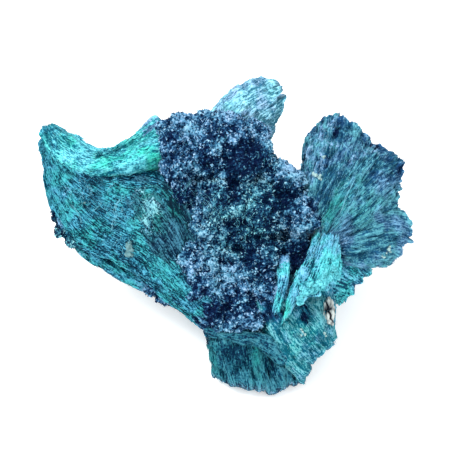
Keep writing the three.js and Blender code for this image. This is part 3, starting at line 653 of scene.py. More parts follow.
RIGHT_LOBE = [
    [5, [21.4, -0.2, 1], [22.4, -1.4, 1], [23, -3, 1], [22.8, -5.2, 0]],
    [5, [27.2, 3.8, 1], [28, 1, 3], [28, -2.2, 3], [26.4, -5.6, 0]],
    [4, [31, 5.4, -1], [32.8, 2.2, 1.5], [33, -1.6, 1.5], [30, -6, -1]],
    [2.5, [33, 5.8, -2.5], [36.4, 1.4, 0], [35.4, -2.6, 0], [32.8, -5.8, -2.5]],
]
LOBE_WASHES = [(29, -1.4, 6, 0.65, 0), *trail((25, 0.6), (34, -0.6), 0.7, -0.35, 0), (35, -3, 1.6, 0.2, 0)]
LOBE_STEPS = [(0, -1), (0.12, -0.6), (0.2, 0.2), (0.29, 1.6), (0.5, 1.2), (0.6, -0.6), (1, -0.2)]
grown(sheaf_mesh("right_lobe", RIGHT_LOBE, 32, root=0.0, ledge=0.6, bundle=4.5, flute=0.5, grit=0.25,
                 contrast=0.8, velvet_root=0.2, washes=LOBE_WASHES, steps=LOBE_STEPS), fan_silk, 7)

# ---- Light fan and strip ----
# The light half of the bow tie, which spreads down from the same waist and has small knobs along
# its broken end, and a narrow strip of the same light silk beside it.
LIGHT_FAN = [
    [3, [19.4, 2.4, -0.5], [21.2, 1.8, 0.5], [23, 0.6, 0]],
    [4.5, [16.4, -5.4, 4], [19, -5.4, 6.5], [22.8, -3.8, 5]],
    [4.5, [13.4, -11.4, 7], [16.8, -9.6, 8], [22.8, -6.6, 6]],
    [3, [11.4, -16.2, 8], [15.8, -12.4, 7.8], [22.2, -8.8, 5.5]],
]
LIGHT_KNOBS = [
    (15.6, -10.6), (17.4, -11), (14.8, -12.4), (18.8, -9.6), (20.2, -8.4), (16.6, -8.6), (21.6, -7.2),
    (19, -7.4), (13.4, -14), (12.4, -16),
]
# The knob washes raise the knobs and paint them lighter, and the broad dark wash round them paints the shade
# between the knobs.
LIGHT_WASHES = [
    (13, -13.6, 2, 0.3, 0), (17.6, -6.6, 1.4, -0.3, 0), (21, -3.6, 2, 0.3, 0), (19, -9.6, 3, -0.5, 0),
    *[(*knob, 0.62, 1.1, 0) for knob in LIGHT_KNOBS],
]
LIGHT_GREENS = [*trail((13.4, -9), (11.6, -16), 1.2, 0.4), (15, -6, 2, 0.3)]
LIGHT_STEPS = [
    (0, 1.2), (0.08, 1.4), (0.22, 1), (0.25, -2), (0.31, -1.8), (0.34, 0), (0.4, 0.2), (0.43, -1.2),
    (0.5, -1), (0.53, 0.3), (0.66, 0.2), (0.69, -1), (0.85, 0), (1, -0.5),
]
light_silk = malachite("light_silk", deep=(0.0012, 0.05, 0.1), body=(0.042, 0.44, 0.49),
                       light=(0.13, 0.62, 0.68), patch=(1.45, 0.82, 1.05))
grown(sheaf_mesh("light_fan", LIGHT_FAN, 33, root=0.0, ledge=0.7, bundle=4.0, flute=0.5, contrast=0.7,
                 velvet_root=0.6, washes=LIGHT_WASHES, greens=LIGHT_GREENS, steps=LIGHT_STEPS),
      light_silk, 8)

LIGHT_STRIP = [
    [3, [10.8, -4.2, 6.5], [13, -4.2, 6.5]],
    [3, [10.2, -9.6, 7.5], [12.3, -10, 7.5]],
    [3, [9, -15.2, 6], [11, -15.6, 6]],
]
grown(sheaf_mesh("light_strip", LIGHT_STRIP, 34, root=0.0, velvet_root=0.3), light_silk, 9)

# ---- Fringe and flap ----
# A ragged fringe of fibres that hangs behind the light fan, and a small flap under the fringe,
# both of the light silk.
FRINGE = [
    [6, [19.8, -4.2, -3], [18.8, -7, -2], [18.4, -9.8, -4]],
    [7, [25, -5, -3], [23, -8.6, -1], [21.8, -11.4, -4]],
    [4, [29.8, -6.8, -4], [26.4, -10.2, -2.5], [24.2, -13, -5]],
]
FRINGE_WASHES = [(24, -8, 5, -0.15, 0)]
grown(sheaf_mesh("fringe", FRINGE, 35, root=0.0, ledge=0.6, ragged=1.6, grit=0.35, contrast=0.45,
                 washes=FRINGE_WASHES), light_silk, 10)

FLAP = [
    [2, [21.6, -9.8, -4.5], [24.8, -9.8, -4.5]],
    [2, [22, -12, -4.5], [24.8, -12, -4.5]],
    [1.6, [22.2, -14, -4.5], [24.4, -14.2, -4.5]],
]
grown(sheaf_mesh("flap", FLAP, 36, root=0.0), light_silk, 11)

# ---- Foot sheaves ----
# Two sheaves side by side that run down from the velvet crust to the lower right, where they
# broke off with the rock.
FOOT_RIGHT = [
    [6, [13.2, -9.4, 3], [10.4, -10, 4], [7.4, -11, 4], [4.4, -12.4, 2]],
    [6, [16.4, -14, 3], [13.6, -15.2, 4.5], [10.4, -16.8, 4.5], [7.2, -18.6, 2.5]],
    [6, [19.8, -18.2, 3], [16.6, -20, 4.5], [13.6, -22, 5], [10.8, -24.4, 3.5]],
    [4, [21.6, -21.8, 2.5], [19.4, -23.2, 4], [17.4, -25.8, 4.5], [15.2, -29.2, 3.5]],
]
# The first trail is painted shadow under the hanging end of the light fan. The narrow dark trails cut the
# grooves between the foot's ropes and paint shade in them, and the narrow light one paints a highlight along
# a rope.
FOOT_WASHES = [
    *trail((14.2, -13.2), (15.6, -17.4), 0.7, -1, 0.34), *trail((17.5, -14.2), (18, -17.2), 0.9, 1.4, 0),
    *trail((5, -12), (10, -21), 1.6, -0.2, 0.1), *trail((10, -21), (15, -28), 1.4, -0.06, 0.08),
    *trail((8, -12), (11, -16), 1.2, -0.3, 0.12), (7, -13, 2, -0.1, 0.5), (8.6, -16.4, 2.4, -0.4, 0.2),
    (14, -20, 3, 0.15, 0), *trail((9, -14), (14, -24), 0.4, -0.4, 0),
    *trail((11.6, -15), (17, -24), 0.4, -0.4, 0), *trail((7.6, -15), (12.4, -25), 0.4, -0.35, 0),
    *trail((10, -18), (15, -27), 0.5, 0.2, 0),
]
FOOT_GREENS = [(14.4, -19.6, 2.8, 0.5), (17, -22, 2, 0.3)]
foot_silk = malachite("foot_silk", deep=(0.003, 0.095, 0.15), body=(0.013, 0.2, 0.245),
                      light=(0.145, 0.44, 0.5), patch=(1.05, 0.84, 1.04))
grown(sheaf_mesh("foot_right", FOOT_RIGHT, 41, root=0.0, ragged=0.9, ledge=0.45, flute=0.5, grit=0.35,
                 contrast=0.6, velvet_root=0.5, washes=FOOT_WASHES, greens=FOOT_GREENS), foot_silk, 12)

FOOT_SIDE = [
    [5, [15.2, -9.4, -1], [18.4, -9, 0], [20.8, -9.4, -2]],
    [5, [15.2, -14, -1], [18.4, -14, 1.5], [20.8, -13.8, -1.5]],
    [5, [16.8, -18.6, 1], [19, -18.6, 2.5], [20.2, -17.8, 0]],
    [4, [18.8, -21.8, 2], [19.8, -21.6, 2.5], [20, -20.6, 1]],
]
grown(sheaf_mesh("foot_side", FOOT_SIDE, 42, root=0.0, contrast=0.9, washes=FOOT_WASHES), foot_silk, 13)

# ---- Rope under the crust ----
# A thin rope of dark fibres that lies round the lower edge of the crust, over the bottom fan, and
# is of the fan's silk.
CRUST_ROPE = [
    [1.6, [-4.6, -17.4, 3.4], [-4.4, -18.6, 4], [-4, -19.6, 3]],
    [1.8, [0.6, -18.8, 4.4], [0.6, -19.8, 5.2], [0.4, -20.8, 4.4]],
    [2, [5.8, -19.4, 4.8], [5.6, -20.6, 5.8], [5.2, -21.6, 4.8]],
    [2.2, [9.6, -20.8, 5.2], [9, -22, 6], [8.2, -22.8, 4.8]],
    [2.2, [12.8, -24.4, 5.4], [12, -25.2, 5.8], [11, -25.8, 4.8]],
]
bottom_silk = malachite("bottom_silk", deep=(0.0008, 0.018, 0.05), body=(0.011, 0.115, 0.18),
                        light=(0.05, 0.215, 0.28), patch=(0.85, 0.96, 0.93))
grown(sheaf_mesh("crust_rope", CRUST_ROPE, 44, root=0.0, ragged=0.4, velvet_root=0.3), bottom_silk, 22)

# ---- Bottom fan ----
# A dark fan of fibres that spreads from under the crust down to the lowest edge, parted by two
# deep furrows.
BOTTOM_FAN = [
    [7, [-4.2, -17.4, -1], [0.2, -17.8, 1], [4.8, -19, 1], [9.8, -20.6, 0]],
    [8, [-2.5, -21.6, -1], [1, -22.2, 2], [6.2, -23, 2], [11.6, -24.4, 1]],
    [7, [-2.2, -24.8, 0.5], [1.4, -25.6, 3], [7.2, -26.8, 3], [14.2, -27, 2]],
    [4, [-2.8, -28.4, 2], [2, -29.8, 4], [8.6, -31.2, 4], [16, -29.6, 2.6]],
]
# The first trail is painted shadow under the lower edge of the crust. The darkest trails cut the two furrows
# and paint shade in them, and the narrow dark ones do the same at the sides; the light trails raise the
# ridges between and paint them lighter, as highlight.
BOTTOM_WASHES = [
    *trail((-3, -19.6), (6.4, -20.6), 0.9, -0.6, 0), *trail((2.8, -21.6), (3, -27), 1.1, -1, 0),
    *trail((8.4, -22.6), (8.8, -28.4), 0.8, -1, 0), *trail((-0.6, -22), (-0.8, -28), 1.1, 0.35, 0),
    *trail((5.6, -23), (5.8, -29.6), 1, 0.35, 0), *trail((11, -25), (11.4, -29.6), 0.9, 0.3, 0),
    *trail((-2, -21.6), (-2, -27), 0.4, -0.5, 0), *trail((13.4, -26), (13.6, -29), 0.4, -0.5, 0),
]
BOTTOM_GREENS = [*trail((-0.6, -22), (-1, -28), 1.2, 0.35), *trail((5.6, -23), (6, -29), 1.2, 0.35)]
grown(sheaf_mesh("bottom_fan", BOTTOM_FAN, 43, root=0.0, ragged=1.0, flute=0.5, ledge=0.4, contrast=0.62,
                 velvet_root=0.2, washes=BOTTOM_WASHES, greens=BOTTOM_GREENS), bottom_silk, 14)

# ---- Back sheaves ----
# Three short stout sheaves that the root sends out behind the show face, with broken stepped
# ends. They share the silks of the sheaves that they are nearest to.
BACK_LEFT = [
    [9, [-6, 2, -12], [-2, 0, -16], [2, 2, -18]],
    [9, [-13, 9, -10], [-9, 6, -16], [-3, 7, -20]],
    [6, [-19, 12, -8], [-15, 10, -15], [-8, 11, -20]],
]
BACK_MID = [
    [10, [-4, 4, -14], [2, 2, -16], [8, 2, -16]],
    [9, [-6, 12, -14], [2, 10, -18], [9, 9, -18]],
    [6, [-7, 18, -12], [1, 16, -18], [9, 14, -17]],
]
BACK_RIGHT = [
    [9, [6, 2, -16], [12, 0, -14], [16, -1, -10]],
    [9, [12, 8, -16], [19, 6, -13], [23, 3, -9]],
    [6, [17, 12, -15], [25, 10, -11], [29, 4, -8]],
]
STOUT = {"root": 0.0, "ledge": 0.8, "bundle": 4.0, "ragged": 2.2, "grit": 0.35}
grown(sheaf_mesh("back_left", BACK_LEFT, 51, **STOUT), apron_silk, 15)
grown(sheaf_mesh("back_mid", BACK_MID, 52, **STOUT), foot_silk, 16)
grown(sheaf_mesh("back_right", BACK_RIGHT, 53, **STOUT), fan_silk, 17)

# ---- Root ----
# The trunk of fibres under the crust, from the flat break that the piece stands on up to the
# backs of the sheaves. All of them have grown out of it.
ROOT_RINGS = [
    (0.0, (7.7, -5.3), (11.6, 16.3)),
    (4.0, (7.0, -5.0), (12.0, 16.0)),
    (9.0, (5.5, -3.0), (13.5, 14.0)),
    (14.0, (4.0, 0.5), (15.0, 12.5)),
    (18.6, (3.0, 4.0), (13.5, 9.0)),
]


def root_mesh(name, rings, seed):
    """A closed trunk, fluted along its growth, through rings that are each a height, a centre and
    the half widths round it."""
    COLUMNS, ROWS = 400, 30
    RADIUS, LENGTH = 14, 20
    SEAM = 0.15
    rng = np.random.default_rng(seed)
    turn = np.linspace(0, 2 * math.pi, COLUMNS, endpoint=False)
    corners = np.array([[c[0] + h[0] * np.cos(turn), c[1] + h[1] * np.sin(turn), np.full_like(turn, z)]
                        for z, c, h in rings]).transpose(0, 2, 1)
    s = np.linspace(0, 1, ROWS + 1)[:, None] * np.ones(COLUMNS)
    points = spline(corners, s)
    x = np.broadcast_to(turn * RADIUS, s.shape)
    y = s * LENGTH
    sway = 0.6 * wander(x / 5, y / 8, rng)
    away_from_seam = np.clip(np.minimum(turn, 2 * math.pi - turn) / SEAM, 0, 1)
    flute = 1 - 2 * np.abs(wander(x / 2.2 + sway, y / 14, rng))
    bundle = 1 - 2 * np.abs(wander(x / 0.8 + sway, y / 9, rng))
    fibre = wander(x / 0.28 + 2 * sway, y / 6, rng)
    relief = away_from_seam * (0.4 * flute + 0.2 * bundle + 0.1 * fibre)
    out = np.stack([np.cos(turn), np.sin(turn), 0 * turn], axis=1)
    points = points + out * relief[..., None]
    mesh = bpy.data.meshes.new(name)
    a = (np.arange(ROWS)[:, None] * COLUMNS + np.arange(COLUMNS)).ravel()
    b = (np.arange(ROWS)[:, None] * COLUMNS + (np.arange(COLUMNS) + 1) % COLUMNS).ravel()
    faces = np.stack([a, b, b + COLUMNS, a + COLUMNS], axis=1).tolist()
    faces += [list(range(COLUMNS))[::-1], [ROWS * COLUMNS + k for k in range(COLUMNS)]]
    mesh.from_pydata((points.reshape(-1, 3) * MM).tolist(), [], faces)
    along = np.gradient(points, axis=0)
    along /= np.linalg.norm(along, axis=2, keepdims=True)
    grain = np.stack([x, y, np.full_like(x, seed)], axis=2)
    keep(mesh, "growth", along)
    keep(mesh, "grain", grain)
    # The tone follows the flutes: painted shade in their grooves, lighter on their ridges.
    keep(mesh, "tone", np.clip(0.5 + 0.55 * relief, 0, 1))
    keep(mesh, "dust", 0 * relief)
    keep(mesh, "crop", 0 * relief)
    keep(mesh, "lay", 0 * relief + 1)
    return mesh


grown(root_mesh("root", ROOT_RINGS, 61), bottom_silk, 18, splinters=2.0e6)

# ---- Velvet crust ----
# The middle is buried under heaps of tiny dark crystal tips, the ends of fibres seen from straight above,
# which catch the light one by one; here the palest tips are painted glints as well as paler crystals. They
# have grown on the sheaves and the root.
LUMPS = [
    ([-1.4, 17, -0.5], [9.2, 7.2, 9]), ([-7.8, 21.6, 1], [3, 2.8, 3.4]), ([-11.2, 21.5, 0], [2.4, 2, 2.6]),
    ([-4, 21.6, 1.5], [3.2, 2.6, 3.6]), ([1.4, 21.2, 2.5], [3.6, 3, 3.8]),
    ([-9.8, 17.8, 3], [2.8, 3.6, 3.6]), ([-9.4, 12.6, 3.6], [3.2, 3.4, 3.8]),
    ([-3, 17, 6], [3.8, 3.6, 4.2]), ([2.2, 13.4, 5.5], [4.4, 3.4, 3.8]), ([5.6, 19.6, 1], [3.2, 3.4, 3.4]),
    ([6.4, 15.4, 2.2], [3.5, 3.2, 3.8]), ([12.4, 10.4, 2], [3, 3.3, 4.2]),
    ([11.8, 13.2, 2.4], [1.6, 1.4, 2]), ([9, 12.4, 1], [2.8, 3, 3.4]), ([1.6, 4.6, -0.5], [11.2, 8.4, 8.6]),
    ([-9.5, 10, -4], [6, 5, 5]), ([-8.8, 7.8, 2], [3.6, 4, 5]), ([-4.2, 1.2, 1.5], [5.4, 6.8, 7]),
    ([-0.4, 6.4, 5.5], [5, 4, 4.6]), ([7.2, 4, 4], [4.6, 4.2, 5]), ([14, 4.4, 1], [5.2, 4.8, 5.4]),
    ([18.2, 2.6, 2], [2.6, 2, 3]), ([1.4, -10, 0], [8.4, 8.4, 8.4]), ([7, -5.4, 2], [5, 6, 5.4]),
    ([-3.8, -5.4, 4], [3.6, 4, 4.6]), ([0.8, -16, 2], [6.2, 2.8, 5]), ([-6.8, -5, 5.4], [3.2, 4.4, 5.6]),
    ([-5, -9.6, 5.6], [3.2, 4.2, 5.2]), ([-3, -14.4, 4.6], [3, 3.8, 4.8]), ([0.6, -17.2, 3], [4.4, 2.4, 4]),
    ([4.2, -15.6, 4.6], [3.6, 3.2, 4.4]), ([8, -10.6, 4], [3, 3.6, 4.6]), ([14.2, -4, 0], [4, 5, 4]),
    ([-34, 4, 0.5], [1.3, 1.6, 1.5]), ([-32.6, 0.9, 0], [1.9, 1.5, 1.6]),
    ([-30.7, -1, -0.5], [1.7, 1.2, 1.4]), ([-14, -10.5, 0], [1.9, 1.5, 1.8]),
    ([-12.1, -12.5, 0], [1.9, 1.3, 1.8]),
]
CRUST_WASHES = [
    (-2, 19.4, 7, 0.07), (-6.8, 19.6, 1.6, 0.4), (1.8, 19, 1.3, 0.4), (8, 18.8, 1.4, 0.45),
    (0.8, 23.2, 1, 0.4), (-7.8, 23.2, 1.2, 0.3), (-9, 14.6, 2, 0.1), (-6, 3.6, 2.5, 0.15),
    (7, 11.6, 1.8, 0.25), (12.2, 13, 1.8, 0.6), (14.6, 11.6, 1.4, 0.5), (14, 1, 1.6, 0.3),
    (-1.6, -1, 2, 0.25), (-1.6, 7.4, 2.6, -0.25), (13, 1, 3, 0.2), (5, 1, 3, -0.1), (5, -5, 3, -0.08),
    (-4.6, -6, 3, 0.25), (1.4, -8.4, 3, 0.3), (4, -17.2, 1.6, 0.1), (-5.6, -17.4, 2, -0.6),
    (-1.4, 20.2, 1.6, -0.5), (-3.2, 14, 1.8, -0.5), (0.4, 14.6, 2.2, -0.3), (5, 15.4, 3.4, -0.65),
    (-10.8, 20, 1.2, -0.3), (-9.6, 7, 2.4, -0.5), (11.6, 9.2, 1.8, -0.5), (-33, 2.4, 3, -0.35),
    (10, 6, 3, -0.18), (9, 0, 3, -0.2), (1.4, -1, 2.5, -0.2), (15, -3.4, 3, -0.6), (6, -8, 2, -0.1),
    (-2.6, -15, 2.4, -0.5), (-6, -13.8, 2, -0.7), (10.6, 7.4, 2, -0.3), (1.6, -14, 2.4, -0.25),
    (-6.8, -3.4, 1.4, -0.3), (-13, -11.6, 2.8, -0.3),
]


def ball(subdivisions):
    """Points and triangles of a ball with a radius of 1."""
    sphere = bmesh.new()
    bmesh.ops.create_icosphere(sphere, subdivisions=subdivisions, radius=1)
    points = np.array([vert.co[:] for vert in sphere.verts])
    faces = np.array([[vert.index for vert in face.verts] for face in sphere.faces])
    sphere.free()
    return points, faces


def crust_mesh(name, lumps, washes, seed):
    """The lumps, each a centre and its half widths, joined by a fine remesh and roughened into clusters of
    crystals. A wash raises and lightens a place, or sinks and darkens it, and moss is where it turns green."""
    VOXEL = 0.4
    CLUSTER_WIDTH = 1.7
    CLOUDS = ((3.4, 1.3), (1.5, 0.8), (0.7, 0.4))
    WASH_DEPTH = 0.8
    MOSS_PLACE, MOSS_AREA, MOSS_EDGE = (4, 3), 110, -26
    HIDDEN_CROP = 0.4
    unit, faces = ball(4)
    points = [on_face(np.array(centre) + unit * half) for centre, half in lumps]
    polygons = [faces + len(unit) * k for k in range(len(lumps))]
    heap = bpy.data.meshes.new(name)
    heap.from_pydata((np.concatenate(points) * MM).tolist(), [], np.concatenate(polygons).tolist())
    draft = bpy.data.objects.new(name + "_draft", heap)
    bpy.context.scene.collection.objects.link(draft)
    remesh = draft.modifiers.new("joined", "REMESH")
    remesh.mode = "VOXEL"
    remesh.voxel_size = VOXEL * MM
    whole = bpy.data.meshes.new_from_object(draft.evaluated_get(bpy.context.evaluated_depsgraph_get()))
    bpy.data.objects.remove(draft)
    bpy.data.meshes.remove(heap)
    whole.name = name
    p = np.zeros(3 * len(whole.vertices))
    n = np.zeros(3 * len(whole.vertices))
    whole.vertices.foreach_get("co", p)
    whole.vertices.foreach_get("normal", n)
    p, n = p.reshape(-1, 3) / MM, n.reshape(-1, 3)
    rng = np.random.default_rng(seed)

    def clusters(spacing):
        """1 at the middle of each of many random cells, 0 where two cells meet."""
        low, high = p.min(0), p.max(0)
        cells = rng.uniform(low, high, (int(np.prod(high - low) / spacing ** 3), 3))
        tree = KDTree(len(cells))
        for k, cell in enumerate(cells):
            tree.insert(cell, k)
        tree.balance()
        gap = np.array([[found[2] for found in tree.find_n(point, 2)] for point in p])
        return np.clip((gap[:, 1] - gap[:, 0]) / spacing * 2, 0, 1) ** 0.7

    cluster = clusters(CLUSTER_WIDTH) - 0.6
    relief = 0.4 * cluster + 0.12 * rng.uniform(-1, 1, len(p))
    cloud = []
    for spacing, depth in CLOUDS:
        cloud.append(np.array([noise.noise(point) for point in p / spacing]))
        relief += depth * cloud[-1]
    height = (p - [0, 0, FACE_HEIGHT]) @ FACE_UP

    def nearness(right, up, area):
        return np.exp(-((p[:, 0] - right) ** 2 + (height - up) ** 2) / area)

    wash = sum(shift * nearness(right, up, size ** 2) for right, up, size, shift in washes)
    moss = 0.8 * nearness(*MOSS_PLACE, MOSS_AREA) + 2.0 * (p[:, 0] < MOSS_EDGE) + 0.5 * cloud[0]
    # The tone follows the relief: painted shade in the gaps between clusters and in the sunk places, lighter
    # on the heaps.
    tone = 0.41 + 0.3 * cloud[0] + 0.45 * cloud[1] + 0.4 * cluster + 1.1 * wash
    p = p + n * (relief + WASH_DEPTH * wash)[:, None]
    p[:, 2] = np.maximum(p[:, 2], 0)
    whole.vertices.foreach_set("co", (p * MM).ravel())
    keep(whole, "growth", n)
    keep(whole, "grain", p)
    keep(whole, "tone", np.clip(tone, 0, 1))
    keep(whole, "dust", np.ones(len(p)))
    keep(whole, "crop", np.where(n @ FACE_OUT > -0.2, 1, HIDDEN_CROP))
    keep(whole, "moss", np.clip(moss, 0, 1))
    keep(whole, "lay", np.zeros(len(p)))
    return whole


grown(crust_mesh("velvet_crust", LUMPS, CRUST_WASHES, 71), apron_silk, 19,
      splinters=0.0, crystals=5.0e6, crystal_length=0.75 * MM, crystal_width=0.42 * MM, crystal_contrast=1.8)

# ---- Host-rock chip ----
# A cream chip of the rock that the malachite grew on, with a dark crack down it. It is still
# caught in the right edge of the foot.


def plain_piece(name, points, faces, tones, finish):
    """A mesh of its own in one material, with a tone from 0 to 1 at each point."""
    mesh = bpy.data.meshes.new(name)
    mesh.from_pydata((points * MM).tolist(), [], faces)
    keep(mesh, "tone", tones)
    mesh.materials.append(finish)
    placed(mesh)


def rock(name, dark, pale):
    """A dull material that runs from dark to pale with the tone."""
    material = bpy.data.materials.new(name)
    material.use_nodes = True
    made, _ = builder(material.node_tree)
    tone = made("ShaderNodeAttribute", {}, "Fac", attribute_name="tone")
    feed(material.node_tree.nodes["Principled BSDF"], {
        "Base Color": ramp(tone, ((0, dark), (1, pale))),
        "Roughness": 0.7,
        "Specular IOR Level": 0.1,
    })
    return material


CHIP_CENTRE, CHIP_HALF = [20.6, -15.6, 3.4], [1.4, 2.7, 2.2]
CRACK = [(20, -13.2), (20.4, -14.2), (20.3, -15), (21, -15.8), (20.8, -16.4), (21.4, -17.2)]
CRACK_WIDTH, CRACK_DEPTH = 0.24, 0.6
CHIP_ROUGHNESS = 0.34
chip, chip_faces = ball(5)
rough = np.array([noise.noise(Vector(point) * 1.6) + 0.5 * noise.noise(Vector(point) * 4) for point in chip])
chip = (chip * (1 + CHIP_ROUGHNESS * rough[:, None])) * CHIP_HALF + CHIP_CENTRE
away = np.full(len(chip), math.inf)
for (x1, y1), (x2, y2) in zip(CRACK, CRACK[1:]):
    way = np.array([x2 - x1, y2 - y1])
    share = np.clip(((chip[:, :2] - [x1, y1]) @ way) / (way @ way), 0, 1)
    away = np.minimum(away, np.linalg.norm(chip[:, :2] - [x1, y1] - share[:, None] * way, axis=1))
# The crack is cut in and painted near black, as the shade in it, and the chip is painted darker where its
# surface dips, as shade.
open_by = np.clip(1 - away / CRACK_WIDTH, 0, 1) * (chip[:, 2] > CHIP_CENTRE[2])
chip[:, 2] -= CRACK_DEPTH * open_by
plain_piece("host_rock_chip", on_face(chip), chip_faces.tolist(),
            np.clip(0.7 + 1.3 * rough - 1.6 * open_by, 0, 1),
            rock("cream_rock", dark=(0.01, 0.015, 0.03), pale=(0.5, 0.55, 0.53)))

# ---- Crumbs ----
# Crumbs of rock and of broken fibre have lodged on the sheaves and the crust. Each is listed
# with its place right and up of the centre and its half width.
CRUMBS = {
    "foot_right": [
        (14.9, -18.6, 0.4), (15.2, -19.1, 0.5), (15.7, -19.6, 0.4), (15, -19.6, 0.4), (19.6, -19.4, 0.5),
        (19.9, -19.9, 0.4),
    ],
    "right_fan": [
        (17.5, 12.2, 0.5), (17.9, 11.9, 0.6), (18.3, 11.8, 0.5), (18.7, 11.4, 0.6), (19.1, 11, 0.4),
        (18.9, 11.8, 0.4), (19.5, 15.4, 0.5), (19.8, 15.7, 0.4),
    ],
    "right_lobe": [
        (32.7, -2.4, 0.4), (32.5, -2.9, 0.5), (32.8, -3.3, 0.4), (32.1, -3.5, 0.4), (31.2, -4.1, 0.4),
        (31.6, -4.4, 0.4),
    ],
    "apron": [
        (-28.8, 10.8, 0.3), (-27.8, 6.4, 0.4), (-18.9, -1.7, 0.9), (-19, -2.4, 1.1), (-18.5, -2.9, 1.2),
        (-18.8, -3.5, 1.1), (-18.3, -4, 0.8),
    ],
    "velvet_crust": [(-8.6, 4.5, 0.6), (-8, 4.4, 0.5), (-9.1, 4.8, 0.5)],
}
DARKER_CRUMBS = {"apron": 0.25}
ABOVE_ALL = 40


def skin_of(name):
    """The finished piece, ready to be asked where something lands on it."""
    return BVHTree.FromObject(bpy.data.objects[name], bpy.context.evaluated_depsgraph_get())


def landing(skin, right, up):
    """The place on the skin, in millimetres, straight under a point in front of the show face."""
    hit = skin.ray_cast(Vector(on_face([right, up, ABOVE_ALL]) * MM), Vector(-FACE_OUT))[0]
    return None if hit is None else np.array(hit) / MM


def handful(name, shapes, faces, tones, finish):
    """Many shapes with the same faces, as one piece."""
    polygons = [faces + len(shapes[0]) * k for k in range(len(shapes))]
    plain_piece(name, np.concatenate(shapes), np.concatenate(polygons).tolist(),
                np.clip(np.concatenate(tones), 0, 1), finish)


crumb, crumb_faces = ball(2)
rng = np.random.default_rng(81)
crumbs, tones = [], []
for piece, places in CRUMBS.items():
    skin = skin_of(piece)
    for right, up, half in places:
        spot = landing(skin, right, up)
        if spot is not None:
            uneven = crumb * rng.uniform(0.5, 1, (len(crumb), 1)) * rng.uniform(0.5, 1.2, 3) * half
            crumbs.append(spot + uneven)
            tones.append(rng.uniform(0.3, 1, len(crumb)) * DARKER_CRUMBS.get(piece, 1))
handful("crumbs", crumbs, crumb_faces, tones,
        rock("pale_crumb", dark=(0.05, 0.16, 0.19), pale=(0.45, 0.64, 0.62)))

# ---- Nodules ----
# Small rough knobs of malachite, a few in each clump, sit along the broken lower end of the light
# fan and are grown onto it.
NODULES = [
    (14.4, -12.6), (15, -11.6), (15.8, -11), (16.8, -10.8), (17.8, -10.4), (18.6, -9.8), (19.6, -9.2),
    (20.6, -8.6), (21.8, -7.6), (16.2, -9.8), (18.2, -9), (19.8, -8), (21, -6.6),
]
KNOBS_IN_CLUMP, CLUMP_SPREAD, KNOB_ROUGHNESS = 5, 0.45, 0.5
nodule, nodule_faces = ball(3)
skin = skin_of("light_fan")
knobs, tones = [], []
for right, up in np.repeat(NODULES, KNOBS_IN_CLUMP, axis=0):
    aside = rng.normal(0, CLUMP_SPREAD, 2)
    spot = landing(skin, right + aside[0], up + aside[1])
    if spot is not None:
        shift = Vector(rng.uniform(0, 50, 3))
        coarse = np.array([noise.noise(Vector(point) * 1.5 + shift) for point in nodule])
        fine = np.array([noise.noise(Vector(point) * 4 + shift) for point in nodule])
        rough = coarse + 0.6 * fine
        knobs.append(spot + nodule * (1 + KNOB_ROUGHNESS * rough[:, None]) * rng.uniform(0.3, 0.65))
        # Each knob has its own tone, painted darker where it dips and lighter where it bulges, as shade and
        # highlight.
        tones.append(rng.uniform(0.15, 0.75) + 0.9 * rough)
handful("nodules", knobs, nodule_faces, tones,
        rock("nodule", dark=(0.01, 0.17, 0.23), pale=(0.15, 0.6, 0.66)))

# ---- Loose and lying hairs ----
# Single pale fibres have come off the sheaves. Some have caught on the skins by one end and bow
# over, and longer ones lie along the skins in threes.

# The tangles on each piece: right and up of the centre, how far it spreads, and how many hairs.
TANGLES = {
    "velvet_crust": [(-8, 8, 3, 40), (-11, 9, 1.6, 12), (-3, 5, 3.4, 110), (4, 3, 3.4, 70), (-3, -8, 4, 30),
                     (8, 14, 3, 10), (-5, 18, 4, 20)],
    "wing": [(-27, 14, 3, 30), (-18, 17, 3, 30)],
    "apron": [(-32, 3, 1.4, 10), (-28, 7, 2.4, 44), (-24, 10, 2, 26), (-22, 4, 2.6, 40), (-20, 0, 3, 24),
              (-14, -8, 3, 14)],
    "blade": [(-16, 5, 2.4, 40), (-13, 1, 2.6, 16)],
    "right_fan": [(20, 16, 2.6, 30), (26, 15, 3, 40), (22, 10, 2, 20), (23, 5, 2.6, 14)],
    "right_lobe": [(31, 0, 3, 16)],
    "light_fan": [(18, -9, 2.6, 16)],
    "foot_right": [(14, -19, 3, 16)],
}
